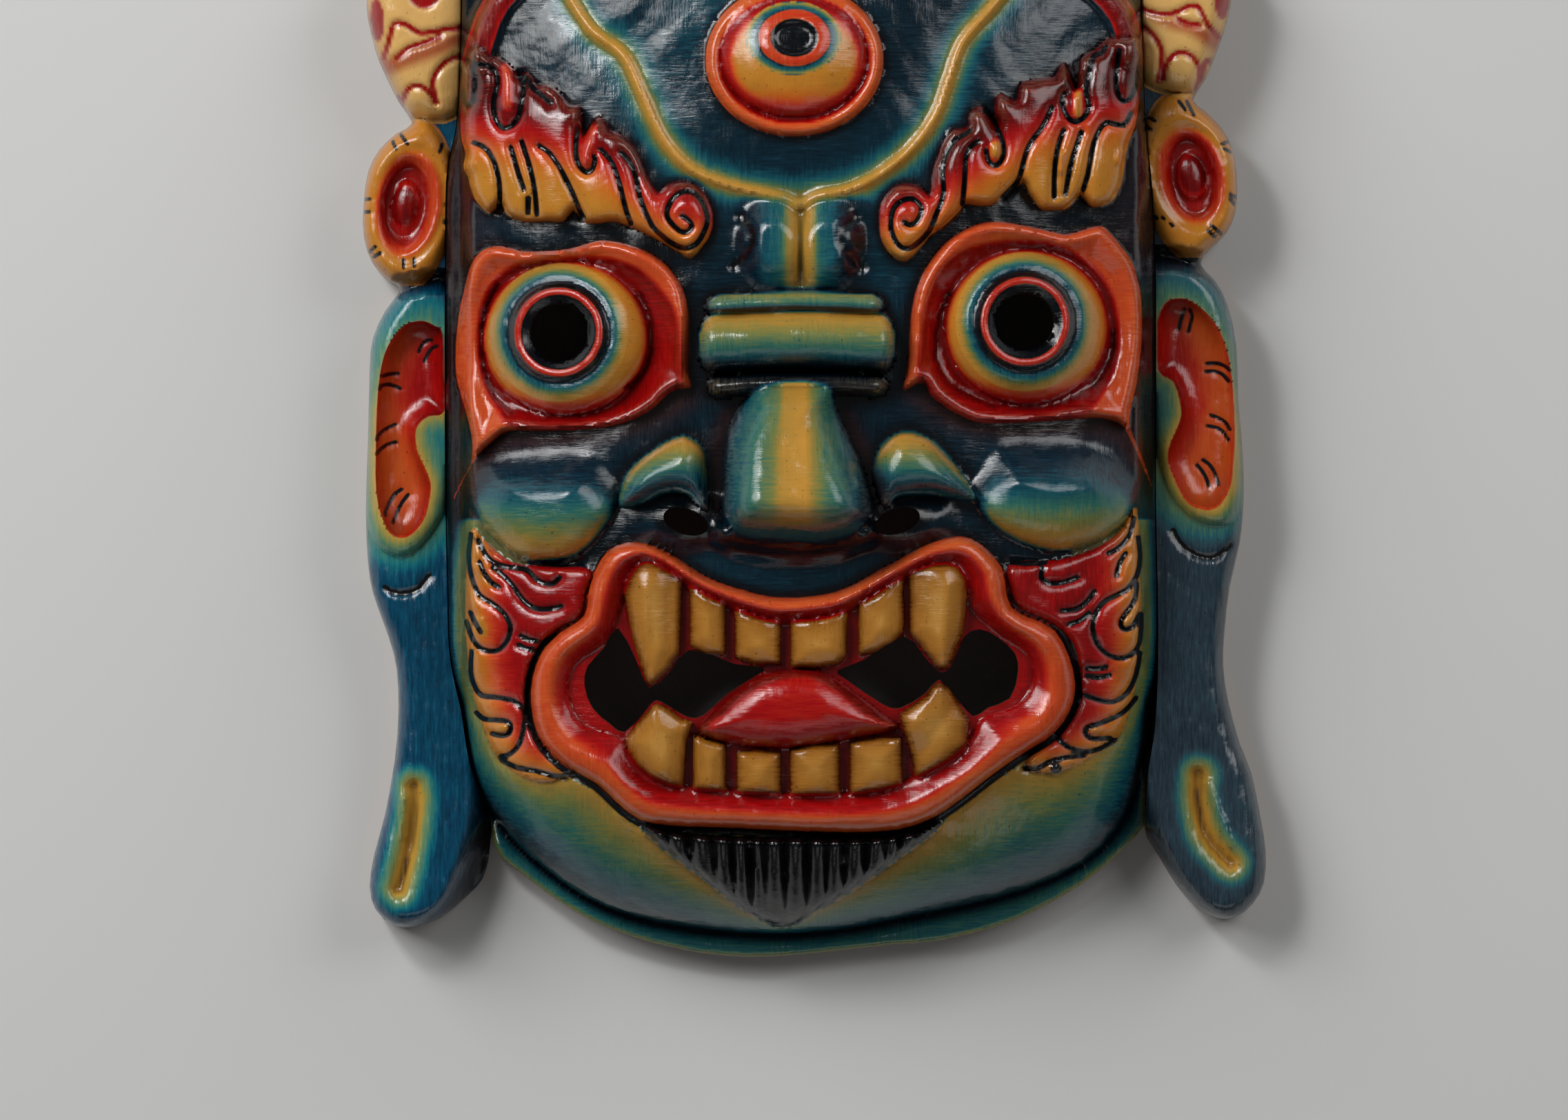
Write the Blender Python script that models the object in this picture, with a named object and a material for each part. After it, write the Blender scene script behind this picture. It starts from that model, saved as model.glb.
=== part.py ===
"""Painted wooden mask of Mahakala: a hollow carved face with a carved ear board fixed to each side.

The mask lies on its back rim. +Z comes out of the face, +Y points to the top of the head and +X to
the right as seen from the front. The carving is given as shares of the mask's height: one share is
a 378th part of it, counted from the middle of the bridge of the nose.
"""
import math

import bmesh
import bpy
import numpy as np
from mathutils import Matrix

# Driving sizes, in metres
MASK_HEIGHT = 0.378        # chin rim to the tip of the crown
FOREHEAD_DEPTH = 0.071     # back rim to the plain forehead on the centre line
WALL = 0.012               # wood between the hollow and the plain form of the face
RIM_WIDTH = 0.012          # flat rim that the mask lies on
RIM_HEIGHT = 0.012         # chin rim, from back to front
GROOVE_HEIGHT = 0.009      # bottom of the groove inside the chin rim
BOARD_DEPTH = 0.026        # plain front of an ear board above its back
BOARD_EDGE = 0.005         # rounding along the outer edge of a board
SEAM = 0.0004              # gap between the face and a board
EYE_HOLE = 0.009           # radius of the hole drilled through each eye
NOSTRIL = (0.0072, 0.0040) # half width and half height of a nostril
BROW_RISE = 0.010          # brow above the plain form
EYE_RISE = 0.017           # eyeball above its socket
LID_RISE = 0.008           # outer edge of the lids above the plain form
NOSE_TIP = 0.104           # nose tip above the back rim
CHEEK_RISE = 0.013         # cheek ball above the plain form
LIP_RISE = 0.010           # lip crest above the plain form
TOOTH_RISE = 0.006         # tooth above the gum
BEARD_RISE = 0.006         # beard above the chin
SKULL_RISE = 0.013         # crown skull above its backing
CROWN_SET_BACK = 0.008     # backing of the crown behind the forehead
DIADEM_RISE = 0.005        # band between forehead and crown

# How finely the carving is cut, in metres, and how many triangles are kept
FACE_CELL = 0.0021
BOARD_CELL = 0.0018
HOLLOW_CELL = 0.0060
FACE_FACETS = 4700
BOARD_FACETS = 900
HOLLOW_FACETS = 420

SHARE = MASK_HEIGHT / 378
DEEP = FOREHEAD_DEPTH / SHARE / 71
FAR = 300                  # well outside the mask, in shares
SPARE = 6                  # a block is carved this far past its outline, in shares
ABOVE_ALL = 0.150          # cutters reach this far in front of the back rim
BEHIND_ALL = -0.010        # and this far behind it

# Sides of the face, where the boards meet it, from top to bottom
LEFT_SEAM = [(-105.3, 120), (-105.2, 108), (-105.6, 94), (-106.1, 80), (-107.2, 68), (-109.4, 58),
             (-110.2, 44), (-110.4, 0), (-110.2, -50), (-109.6, -75), (-109.4, -88), (-108.6, -97),
             (-107, -105), (-105.4, -112), (-104.2, -120), (-102.8, -128), (-100, -136.5),
             (-97.2, -144), (-96.2, -150)]
RIGHT_SEAM = [(105.9, 120), (105.9, 108), (106.3, 95), (106.7, 82), (107.2, 70), (108.2, 60),
              (109.2, 50), (110.2, 30), (110.4, 0), (110.4, -50), (111, -75), (111.1, -95),
              (110.7, -108), (110, -118), (109, -125), (108, -131), (107.6, -140), (107.3, -148)]
CHIN_RIM = [(-95.6, -154), (-93.3, -158), (-86.2, -163.6), (-76.8, -170.7), (-65, -177.8),
            (-53.2, -182.5), (-41.4, -185.8), (-29.6, -188), (-17.8, -189), (-6, -188.7),
            (5.8, -187.8), (17.6, -186.4), (29.4, -185.2), (41.2, -184.3), (52.9, -181.9),
            (64.7, -178.4), (76.5, -173.1), (88.3, -166), (97.8, -158.3), (104.2, -152)]
CROWN_HALF = [(105, 127), (98, 135), (90, 139.5), (83, 141), (79, 150), (72, 162), (63, 168.5),
              (55, 170), (46, 167), (39, 160), (34, 157), (31, 163), (27, 175), (18, 184),
              (8, 188.3), (0, 189)]
CHIN_GROOVE = [(-109, -112), (-106, -124), (-103, -133), (-99.2, -140), (-94.5, -147),
               (-88.6, -154.2), (-79.1, -162.5), (-67.3, -170.7), (-53.2, -176.6), (-35.5, -180.1),
               (-17.8, -181.9), (0, -181.9), (17.6, -180.1), (35.3, -176.6), (52.9, -173),
               (70.6, -168.3), (88.3, -160.1), (98.9, -149.5), (104, -139), (107, -128), (111, -112)]

# Plain form of the face: place up the mask, then height on the centre line and at the sides
VAULT = [(-192, 34, 20), (-165, 47, 24), (-135, 58, 29), (-90, 65, 32), (-40, 68, 33), (20, 70, 34),
         (70, 71, 34), (110, 68, 33), (150, 61, 30), (192, 52, 26)]
PAST_SEAM = 1.9            # the plain form runs out this far past the seams, in shares
VAULT_HALF_WIDTH = max(x for x, _ in RIGHT_SEAM) + PAST_SEAM

LEFT_BROW = [(-102.8, 93.4), (-98, 92.9), (-93.8, 91.2), (-89, 87.3), (-87.2, 85.2), (-84.9, 86.1),
             (-81.7, 82), (-78.6, 82.4), (-75.2, 80.5), (-71.3, 75.9), (-68.4, 75.7), (-67.2, 67.5),
             (-64, 70.8), (-62.1, 72.2), (-58.7, 67.9), (-55.8, 67), (-50.7, 61.6), (-47.6, 53.9),
             (-44.2, 48.6), (-39.4, 51.7), (-32.6, 51), (-27.7, 44.2), (-27.7, 36), (-33.8, 28.2),
             (-40.3, 31.6), (-49, 36.2), (-56.8, 39.4), (-65.5, 38.9), (-70.4, 43), (-73.3, 39.6),
             (-84.9, 39.5), (-92.8, 45), (-96.5, 42.3), (-100.9, 46.6), (-103.3, 53.9),
             (-104, 61.2), (-105.8, 70.4), (-105.9, 84.9)]
RIGHT_BROW = [(24.3, 40.5), (27, 48.5), (34, 51.3), (40.5, 49), (42.5, 60), (47, 68), (52, 69.5),
              (53.5, 74.5), (57.5, 74.3), (60.8, 69.5), (60.5, 78), (63.5, 78.8), (67, 77.5),
              (68.8, 83), (73, 84.3), (79, 84.8), (81.3, 89.3), (85.3, 81), (87.3, 91),
              (91.5, 93.3), (96.5, 97), (105.8, 97.3), (106.3, 85), (104.5, 72), (102, 64.5),
              (100, 53), (96.5, 46), (90, 44.3), (86.5, 48), (82, 43.5), (74.5, 43.3), (69, 51.3),
              (64, 47.5), (58, 44.3), (51, 44.8), (47, 40.5), (40, 35), (32.4, 27), (26, 32)]
LEFT_LID = [(-34.5, -6.4), (-34.5, 3.3), (-34.8, 12), (-36.5, 18.8), (-43.2, 27.5), (-53.9, 32.6),
            (-64.5, 33.3), (-78.1, 30.6), (-93.6, 32.3), (-102.3, 26.5), (-106.4, 10.5),
            (-107.3, -1.6), (-105.2, -15.1), (-102.1, -26.8), (-102.3, -35.5), (-107.6, -45),
            (-101, -34), (-95.5, -28.2), (-90.2, -25.1), (-78.1, -25.1), (-63.6, -24.4),
            (-50.5, -21), (-41.8, -14.4)]
RIGHT_LID = [(32.1, -12.5), (33.2, -2.7), (34.2, 10.4), (37.1, 22), (43.4, 31.5), (52.9, 38.1),
             (63.4, 39.4), (73.9, 37.5), (81.3, 35.8), (90.3, 38.1), (96.1, 36.2), (102.4, 28.3),
             (105.8, 17.3), (106.1, 4.1), (104.5, -9.6), (102.1, -23.3), (109.3, -44), (100, -23.5),
             (87.6, -21.2), (70.3, -22.5), (56.1, -22.7), (44.5, -17.5), (37.6, -10.1)]
EYES = [(LEFT_LID, (-74, 2), (25, 22), (-74.8, 5.3)), (RIGHT_LID, (70, 5.5), (25, 23), (69.4, 8.6))]

THIRD_EYE = [(-29.5, 90), (-27.5, 101), (-23, 106.4), (-14, 111.5), (-2, 113.3), (9, 111.8),
             (15.9, 108.2), (24, 98.8), (25.7, 92.1), (24.4, 78.7), (15.9, 69.7), (2.5, 65.9),
             (-13.2, 67.5), (-25.2, 76.4)]
LEFT_RIDGE = [(-75, 115), (-65, 99.4), (-54.9, 91.2), (-48.6, 78.1), (-42.7, 65.5), (-34.5, 56.3),
              (-24.8, 51.7), (-15, 49), (-5, 47), (0, 44.5)]
RIGHT_RIDGE = [(0, 44.5), (5, 47.5), (15, 49.5), (25, 54.5), (35, 63), (42, 73), (46, 84),
               (50, 95), (58, 104.5), (66, 114)]
DIADEM = [(-101, 90), (-97, 103), (-90, 113), (-78, 120), (-60, 124), (-35, 125), (0, 125),
          (35, 125), (60, 124), (80, 120), (92, 113), (100, 104), (104, 92)]
SKULLS = [(0, 154, 22, 25), (-56, 147, 18, 19), (56, 147, 18, 19)]

NOSE = [(-13, -11), (-20, -20), (-23.3, -30), (-24, -40), (-24.5, -50), (-21.2, -56.7),
        (-15.1, -59), (-6.9, -59.8), (4.2, -60.3), (12.5, -59), (18, -56.7), (22.5, -51),
        (21.5, -40), (18, -30), (11, -20), (10, -11)]
NOSE_LINE = [(-62, 96), (-50, 104), (-38, 101), (-25, 95), (-10, 88)]
NOSE_ROLLS = [(-28.5, 25, 14.2, 3.4, 5), (-31.7, 28.5, 2.2, 8.8, 9), (-29, 27, -10.6, 3.2, 6)]
GLABELLA = [(-7.2, 32, 7, 15.5), (7.2, 32, 7, 15.5)]
LEFT_WING = [(-56.5, -48.5), (-53.5, -38.1), (-45.5, -31.1), (-37.9, -27), (-33.5, -27.7),
             (-28.7, -35.5), (-28.3, -50.5), (-34.9, -45.2), (-42, -44.8), (-49.1, -47.9)]
RIGHT_WING = [(22.1, -40.1), (24.5, -30.6), (32.4, -25.6), (42.4, -29.6), (51.3, -40.1),
              (54, -47), (41.8, -45.4), (30.2, -45.7), (25.7, -49.5)]
NOSTRILS = [((-35.5, -53.2), -18), ((30, -53), 18)]
LEFT_BALL = [(-100, -33), (-103, -44), (-98, -55), (-88, -64.3), (-79.2, -65.2), (-68.6, -63),
             (-60, -54), (-56.5, -46), (-58, -36), (-66, -30.5), (-80, -30)]
RIGHT_BALL = [(53.3, -45.7), (63, -56.9), (79.4, -62.5), (94.7, -58), (103.9, -47.7),
              (102, -34), (92, -28), (78, -26.3), (62, -27.3), (55, -34)]
LEFT_FLAME = [(-102.5, -56), (-104.3, -80), (-103, -100), (-100, -113), (-95, -125), (-88, -131.5),
              (-80, -134), (-70, -131.5), (-77, -125.5), (-82.5, -119), (-85, -109), (-84, -100),
              (-81, -92.5), (-74.5, -86), (-68, -82), (-66.5, -75), (-65, -68), (-78, -67),
              (-90, -65.5), (-98, -59)]
RIGHT_FLAME = [(104.5, -49), (105.8, -75), (105.8, -95), (102, -113), (98, -121), (90, -126.5),
               (79.5, -131), (70, -130), (72, -125), (80, -119.5), (86, -110), (86.3, -100),
               (84.5, -91), (78, -84.5), (68, -80), (65, -74), (65, -66), (80, -65), (93, -60.5),
               (100, -55)]

LIP = [(-5.9, -76.8), (-17.7, -74.5), (-29.4, -70.3), (-41.2, -62.7), (-50.7, -59.6),
       (-59.5, -62.1), (-65.1, -72.1), (-66.9, -82.1), (-74.3, -87.4), (-80.7, -94.5),
       (-83.7, -106), (-81.6, -119.3), (-74.3, -128.1), (-63.1, -134.6), (-54.8, -142.3),
       (-45.4, -147), (-20.6, -148.2), (0, -149.2), (24.2, -149.4), (37.5, -146.7),
       (47.2, -141.2), (58.1, -132.8), (68.4, -125.5), (78.7, -118.8), (84.4, -109.8),
       (84.7, -99.5), (78.7, -86.8), (65.4, -79.8), (62.3, -67.4), (52.7, -58.4), (41.2, -59.5),
       (26, -67.4), (10.9, -75)]
MOUTH = [(-50.7, -68.9), (-44.8, -67.5), (-30.6, -76.5), (-11.8, -84.5), (0, -85), (14.5, -82),
         (36.3, -69.2), (48.4, -68.3), (52.3, -80), (61.1, -88), (69.6, -94), (72, -101.3),
         (67.8, -109.2), (56, -114), (51.5, -121), (42.4, -128), (24, -135.5), (0, -136.8),
         (-20, -136), (-40.7, -133.7), (-50, -128), (-55, -120.5), (-67.2, -116.3),
         (-71.7, -106), (-69.5, -97.5), (-60.1, -90.4), (-55.3, -80)]
LEFT_GAP = [(-56.5, -86), (-61, -92.5), (-66, -98), (-67, -104), (-64.5, -111), (-59, -116),
            (-54.5, -118.5), (-48.3, -112.2), (-45.1, -108.6), (-41.2, -110.2), (-35, -113.8),
            (-30, -113.2), (-22.4, -106.4), (-12, -99.8), (-11, -98.4), (-20.5, -97.2),
            (-34.5, -92.8), (-40.5, -99.8), (-46.8, -104.6), (-50.8, -96.3)]
RIGHT_GAP = [(55.5, -86.5), (61, -89), (66.5, -94), (67.5, -100), (65, -108), (58, -111),
             (53.5, -113.6), (48.4, -108), (43, -102.2), (38.7, -106.5), (31, -111), (25.4, -109.8),
             (14, -102), (11.5, -99.3), (20, -95.8), (32.1, -88.6), (38, -94.5), (43, -99.8),
             (46.6, -98), (50.5, -89)]
UPPER_TEETH = [[(-55.1, -72.7), (-50.1, -68.6), (-44.8, -67.5), (-36.2, -72.7), (-35.9, -92.7),
                (-41.2, -99.8), (-46.8, -103.8), (-50.1, -96.3), (-55, -80)],
               [(-34.5, -74.5), (-23, -80.5), (-23, -94.6), (-34.5, -91.6)],
               [(-20.5, -81), (-6, -84.5), (-6, -97.8), (-20.5, -95.7)],
               [(-3.3, -85), (14.5, -82), (14.5, -94.6), (5, -98.6), (-3.3, -98.4)],
               [(17.8, -80), (32, -73), (32.1, -87.4), (23.6, -94), (17.6, -94.8)],
               [(33.3, -72.2), (42.4, -67.7), (50.8, -71.6), (52.1, -82.5), (48.4, -92.2),
                (45.1, -99.2), (39.3, -95.2), (33.6, -88)]]
LOWER_TEETH = [[(-45.1, -109.2), (-54.5, -120.4), (-49.5, -128.7), (-43, -133.2), (-35.9, -133.1),
                (-33.6, -120.4), (-33, -115.1), (-41.2, -110.7)],
               [(-33.5, -118.5), (-22.8, -122), (-22.8, -135.2), (-33.5, -133.4)],
               [(-20, -124), (-5.8, -124.5), (-5.8, -136.5), (-20, -136)],
               [(-3.5, -123.7), (12.3, -121.9), (12.3, -136.4), (-3.5, -136.4)],
               [(15, -121.3), (32, -119.8), (32, -132.8), (15, -135.8)],
               [(43, -102.8), (50.8, -112.2), (52.4, -114.6), (47.2, -125.5), (35.7, -129.7),
                (31.8, -119.5), (30.3, -112.8), (38.7, -107.3)]]
TONGUE = [(-31.8, -119), (-26.5, -111), (-16.5, -102.2), (-4.1, -98.9), (6, -99.5), (13.9, -104),
          (25.4, -112.8), (30.3, -117.4), (12.1, -121), (0, -123), (-14.7, -123.1)]
BEARD = [(-49.6, -147.1), (-38, -149.4), (-20, -150.6), (0, -151), (20, -150.9), (33, -149.5),
         (44.7, -145.8), (40, -150.7), (29.4, -158.3), (17.6, -166.6), (5.8, -173.7), (-5.4, -179.6),
         (-17.8, -173.7), (-29.6, -164.2), (-41.4, -155.4)]
BEARD_LOCK = 6.5

# Free edges of the boards, from the seam at the top round to the seam at the bottom
LEFT_BOARD = [(-109, 129), (-118, 132.5), (-127, 129), (-133, 121), (-135.4, 108.3), (-133.8, 98.5),
              (-131.3, 90), (-125.5, 78), (-121, 71.2), (-126, 67.8), (-131.3, 62.8), (-134.8, 56),
              (-136.2, 46), (-136.2, 36), (-133.5, 27.5), (-128.5, 21.8), (-124.8, 19.4),
              (-129.5, 12.6), (-133.4, 4), (-134.4, -6), (-135, -30), (-135.6, -50), (-134.9, -66),
              (-133.2, -76), (-128.5, -89), (-126, -99), (-125.4, -112), (-126.5, -127),
              (-129.6, -144.5), (-133, -157), (-134.4, -167), (-132.5, -174.3), (-127, -179),
              (-121, -179.6), (-112.5, -177), (-104.5, -170.4), (-99.5, -165), (-97.6, -159)]
RIGHT_BOARD = [(109, 130.5), (118.5, 134), (127, 131.5), (133, 124), (134.7, 114), (133.4, 104),
               (130.5, 95), (126.5, 85), (122.5, 78.4), (126, 75), (131, 70), (134.8, 63),
               (136.1, 54), (135.8, 44), (133, 37), (128, 32), (124.9, 27.4), (129.2, 22.2),
               (133.3, 14.5), (136, 2), (136.6, -14), (138, -32), (138.3, -46), (137.1, -59.7),
               (133.9, -73.5), (132.3, -88), (131.9, -98), (133.5, -109.2), (137.1, -122.4),
               (140.7, -131.5), (143.3, -144), (145.2, -156), (144.6, -166), (141.1, -172.4),
               (136, -176.4), (130.5, -177), (123.9, -173.7), (117.4, -166.4), (112, -157.5),
               (108.4, -152)]


def smooth_line(points, closed=False, steps=2):
    """Points of a smooth curve through the given ones."""
    count = len(points)
    result = []
    for i in range(count if closed else count - 1):
        before = points[(i - 1) % count] if closed or i else points[i]
        here, after = points[i], points[(i + 1) % count]
        beyond = points[(i + 2) % count] if closed or i + 2 < count else after
        for step in range(steps):
            t = step / steps
            weights = (-0.5 * t + t * t - 0.5 * t ** 3, 1 - 2.5 * t * t + 1.5 * t ** 3,
                       0.5 * t + 2 * t * t - 1.5 * t ** 3, -0.5 * t * t + 0.5 * t ** 3)
            corners = (before, here, after, beyond)
            result.append(tuple(sum(w * p[axis] for w, p in zip(weights, corners)) for axis in (0, 1)))
    return result if closed else result + [tuple(points[-1])]


def far_from(line, x, y):
    """Distance of every place from a line."""
    nearest = np.full(x.shape, 1e6)
    for (ax, ay), (bx, by) in zip(line[:-1], line[1:]):
        run_x, run_y = bx - ax, by - ay
        t = np.clip(((x - ax) * run_x + (y - ay) * run_y) / (run_x ** 2 + run_y ** 2), 0, 1)
        nearest = np.minimum(nearest, np.hypot(x - ax - t * run_x, y - ay - t * run_y))
    return nearest


def depth_in(outline, x, y, steps=3):
    """How far every place lies inside a closed outline, less than zero outside it."""
    ring = smooth_line(outline, True, steps) if steps else list(outline)
    ring.append(ring[0])
    inside = np.zeros(x.shape, bool)
    for (ax, ay), (bx, by) in zip(ring[:-1], ring[1:]):
        if ay != by:
            inside ^= ((ay > y) != (by > y)) & (x < (bx - ax) * (y - ay) / (by - ay) + ax)
    return np.where(inside, 1, -1) * far_from(ring, x, y)


def rise(depth, width):
    """A quarter round: 0 at an edge and outside it, 1 from the given width inwards."""
    return np.sqrt(1 - (1 - np.clip(depth / width, 0, 1)) ** 2)


def ease(t):
    """A soft step from 0 to 1."""
    t = np.clip(t, 0, 1)
    return t * t * (3 - 2 * t)


def bead(distance, half_width):
    """A half round over a line."""
    return np.sqrt(1 - np.clip(distance / half_width, 0, 1) ** 2)


def profile(stations, place):
    """Smooth curve of heights through stations, each a place and a height."""
    at = np.array([station[0] for station in stations], float)
    height = np.array([station[1] for station in stations], float)
    slope = np.gradient(height, at)
    i = np.clip(np.searchsorted(at, place) - 1, 0, len(at) - 2)
    gap = at[i + 1] - at[i]
    t = np.clip((place - at[i]) / gap, 0, 1)
    return (height[i] * (1 + 2 * t) * (1 - t) ** 2 + slope[i] * gap * t * (1 - t) ** 2
            + height[i + 1] * t * t * (3 - 2 * t) + slope[i + 1] * gap * t * t * (t - 1))


def vault(x, y):
    """Plain form of the face before it is carved, in shares."""
    middle = profile([(up, height) for up, height, _ in VAULT], y)
    side = profile([(up, height) for up, _, height in VAULT], y)
    across = 1 - np.clip(np.abs(x) / VAULT_HALF_WIDTH, 0, 1) ** 2.4
    return (side + (middle - side) * across ** 0.7) * DEEP


def above_chin_groove(x, y):
    """How far every place lies above the groove inside the chin rim."""
    side = CHIN_GROOVE[0][1]
    around = [(FAR, side), (FAR, FAR), (-FAR, FAR), (-FAR, side)]
    return depth_in(smooth_line(CHIN_GROOVE) + around, x, y, 0)


def face_outline():
    """Outer edge of the face: left side down, chin, right side up, crown."""
    left = smooth_line(LEFT_SEAM)
    chin = smooth_line(CHIN_RIM)
    right = smooth_line(RIGHT_SEAM)[::-1]
    crown_right = smooth_line(CROWN_HALF)
    crown_left = [(-x, y) for x, y in crown_right[-2::-1]]
    return left + chin + right + crown_right + crown_left


def board_outline(seam, free_edge, outwards):
    """Outer edge of a board: along its seam with the face, then round its free edge."""
    gap = SEAM / SHARE * outwards
    inner = [(x + gap, y) for x, y in smooth_line(seam)]
    return inner + smooth_line(free_edge[::-1])


def plain_form(x, y):
    """The vault, set back above the diadem, where the crown's backing stands."""
    arch = smooth_line(DIADEM)
    above = -depth_in(arch + [(104, -FAR), (-101, -FAR)], x, y, 0)
    return vault(x, y) - CROWN_SET_BACK / SHARE * ease(above / 5)


def carve_crown(z, x, y):
    """Diadem band, and the skulls above it."""
    z = z + DIADEM_RISE / SHARE * bead(far_from(smooth_line(DIADEM), x, y), 4.8)
    for centre_x, centre_y, half_width, half_height in SKULLS:
        up = (y - centre_y) / half_height
        width = half_width * (1 + 0.22 * np.clip(up, -1, 0.3))
        across = (x - centre_x) / width
        dome = np.sqrt(np.clip(1 - across ** 2 - up ** 2, 0, 1))
        skull = SKULL_RISE / SHARE * dome ** 0.8
        for side in (-1, 1):
            socket = np.hypot((across - side * 0.42) / 0.25, (up - 0.12) / 0.24)
            skull = skull - 3.5 * ease(1.3 - socket) * (dome > 0)
        nose = np.hypot(across / 0.14, (up + 0.32) / 0.16)
        z = z + skull - 2.5 * ease(1.3 - nose) * (dome > 0)
    return z


def carve_forehead(z, x, y):
    """Third eye, the two beaded ridges that spring from the bridge, and the flame brows."""
    inside = depth_in(THIRD_EYE, x, y)
    ball = np.sqrt(np.clip(1 - np.hypot((x + 2.5) / 19, (y - 95) / 18) ** 2, 0, 1))
    z = z + 5 * rise(inside, 3) - 4 * ease((inside - 3) / 8) + 10 * ball
    for ridge in (LEFT_RIDGE, RIGHT_RIDGE):
        away = far_from(smooth_line(ridge), x, y)
        z = z + 3.2 * bead(away, 2.4) - 1.5 * np.exp(-(away / 7) ** 2)
    for brow, curl in ((LEFT_BROW, (-34, 41)), (RIGHT_BROW, (33, 41.5))):
        inside = depth_in(brow, x, y)
        spin = np.hypot(x - curl[0], y - curl[1])
        body = BROW_RISE / SHARE * (0.72 * rise(inside, 3) + 0.28 * rise(inside, 13))
        z = z + body + (2.4 * bead(spin, 4) - 2 * bead(abs(spin - 6), 1.8)) * (inside > 0)
    return z


def carve_eyes(z, x, y):
    """Lids that dip towards a socket, and the eyeball in it."""
    plain = z
    for lid, centre, half, hole in EYES:
        inside = depth_in(lid, x, y)
        round_eye = np.hypot((x - centre[0]) / half[0], (y - centre[1]) / half[1])
        to_ball = np.maximum(0, round_eye - 1) * half[1]
        slope = ease(inside / (np.maximum(inside, 0) + to_ball + 1e-6))
        lids = plain + LID_RISE / SHARE * rise(inside, 3) - (LID_RISE / SHARE + 1.5) * slope
        ball = EYE_RISE / SHARE * np.sqrt(np.clip(1 - round_eye ** 2, 0, 1))
        ring = np.hypot(x - hole[0], y - hole[1])
        ball = ball - 1.2 * bead(abs(ring - 15), 1.6) - 1.5 * ease((13.4 - ring) / 3)
        z = np.where(inside > 0, np.where(round_eye < 1, plain - 1.5 + ball, lids), z)
    return z


def carve_nose(z, x, y):
    """Brow knots, rolled bridge, nose and its wings over the nostrils."""
    plain = z
    for centre_x, centre_y, half_width, half_height in GLABELLA:
        knot = np.hypot((x - centre_x) / half_width, (y - centre_y) / half_height)
        z = z + 7 * np.sqrt(np.clip(1 - knot ** 2, 0, 1))
    for wing in (LEFT_WING, RIGHT_WING):
        z = z + 14 * rise(depth_in(wing, x, y), 9)
    for (hole_x, hole_y), _ in NOSTRILS:
        z = z + 5 * ease(1.4 - np.hypot((x - hole_x) / 15, (y - hole_y) / 8))
    for left, right, up, half_width, height in NOSE_ROLLS:
        past_end = np.maximum(0, np.maximum(left + half_width - x, x - right + half_width))
        over = np.hypot(past_end, y - up)
        z = np.maximum(z, plain + 4 + (height + 4) * bead(over, half_width) - 6 * (over > half_width))
    inside = depth_in(NOSE, x, y)
    tip = NOSE_TIP / SHARE / 104
    front = profile(NOSE_LINE, y) * tip
    block = plain + (front - plain) * rise(inside, 17)
    z = np.where(inside > 0, np.maximum(z, block), z)
    under = ease((7 - far_from([(-22, -57), (0, -60), (19, -57)], x, y)) / 7)
    return z + 9 * under * (inside <= 0) * (y < -50)


def carve_cheeks(z, x, y):
    """Cheek balls, and the flame whiskers round the mouth."""
    for ball in (LEFT_BALL, RIGHT_BALL):
        z = z + CHEEK_RISE / SHARE * rise(depth_in(ball, x, y), 15)
    for flame in (LEFT_FLAME, RIGHT_FLAME):
        z = z + 3.5 * rise(depth_in(flame, x, y), 2.5)
    return z


def carve_mouth(z, x, y):
    """Lips round an open mouth with two rows of teeth and a raised tongue."""
    lip = depth_in(LIP, x, y)
    mouth = depth_in(MOUTH, x, y)
    across = np.clip(lip, 0, None) / (np.clip(lip, 0, None) + np.maximum(0, -mouth) + 1e-6)
    gum = z + 1.5
    tall = LIP_RISE / SHARE
    lips = z + tall * rise(lip, 4.5) - (tall - 1.5) * ease((across - 0.55) / 0.45)
    z = np.where(mouth > 0, gum, np.where(lip > 0, lips, z))
    for tooth in UPPER_TEETH + LOWER_TEETH:
        inside = depth_in(tooth, x, y, 0)
        z = z + TOOTH_RISE / SHARE * rise(inside, 3.5)
    inside = depth_in(TONGUE, x, y)
    return np.where(inside > 0, np.maximum(z, gum + 12 * rise(inside, 10)), z)


def carve_chin(z, x, y):
    """Pointed beard of upright locks, and the chin that rolls down to the groove in the rim."""
    inside = depth_in(BEARD, x, y)
    lock = np.abs((x + 4.4) / BEARD_LOCK - np.round((x + 4.4) / BEARD_LOCK))
    z = z + (BEARD_RISE / SHARE - 2.6 * ease((lock - 0.22) / 0.2)) * rise(inside, 3)
    chin = above_chin_groove(x, y)
    low = GROOVE_HEIGHT / SHARE
    rolled = low + (z - low) * rise(chin, 30)
    rim = low + (RIM_HEIGHT / SHARE - low) * ease(-chin / 3)
    return np.where(chin > 0, rolled, rim)


def face_relief(x, y):
    """Height of the carved face above the back rim, in shares."""
    z = plain_form(x, y)
    for carve in (carve_crown, carve_forehead, carve_eyes, carve_nose, carve_cheeks, carve_mouth,
                  carve_chin):
        z = carve(z, x, y)
    return z


def hollow_relief(x, y):
    """Height of the hollow behind the face, in shares, below the back plane outside the rim."""
    inside = depth_in(face_outline(), x, y, 0) - RIM_WIDTH / SHARE
    form = plain_form(x, y) * rise(above_chin_groove(x, y) - 4, 38)
    floor = -3.0
    return floor + np.maximum(0, form - WALL / SHARE - floor) * rise(inside, 26)


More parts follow.
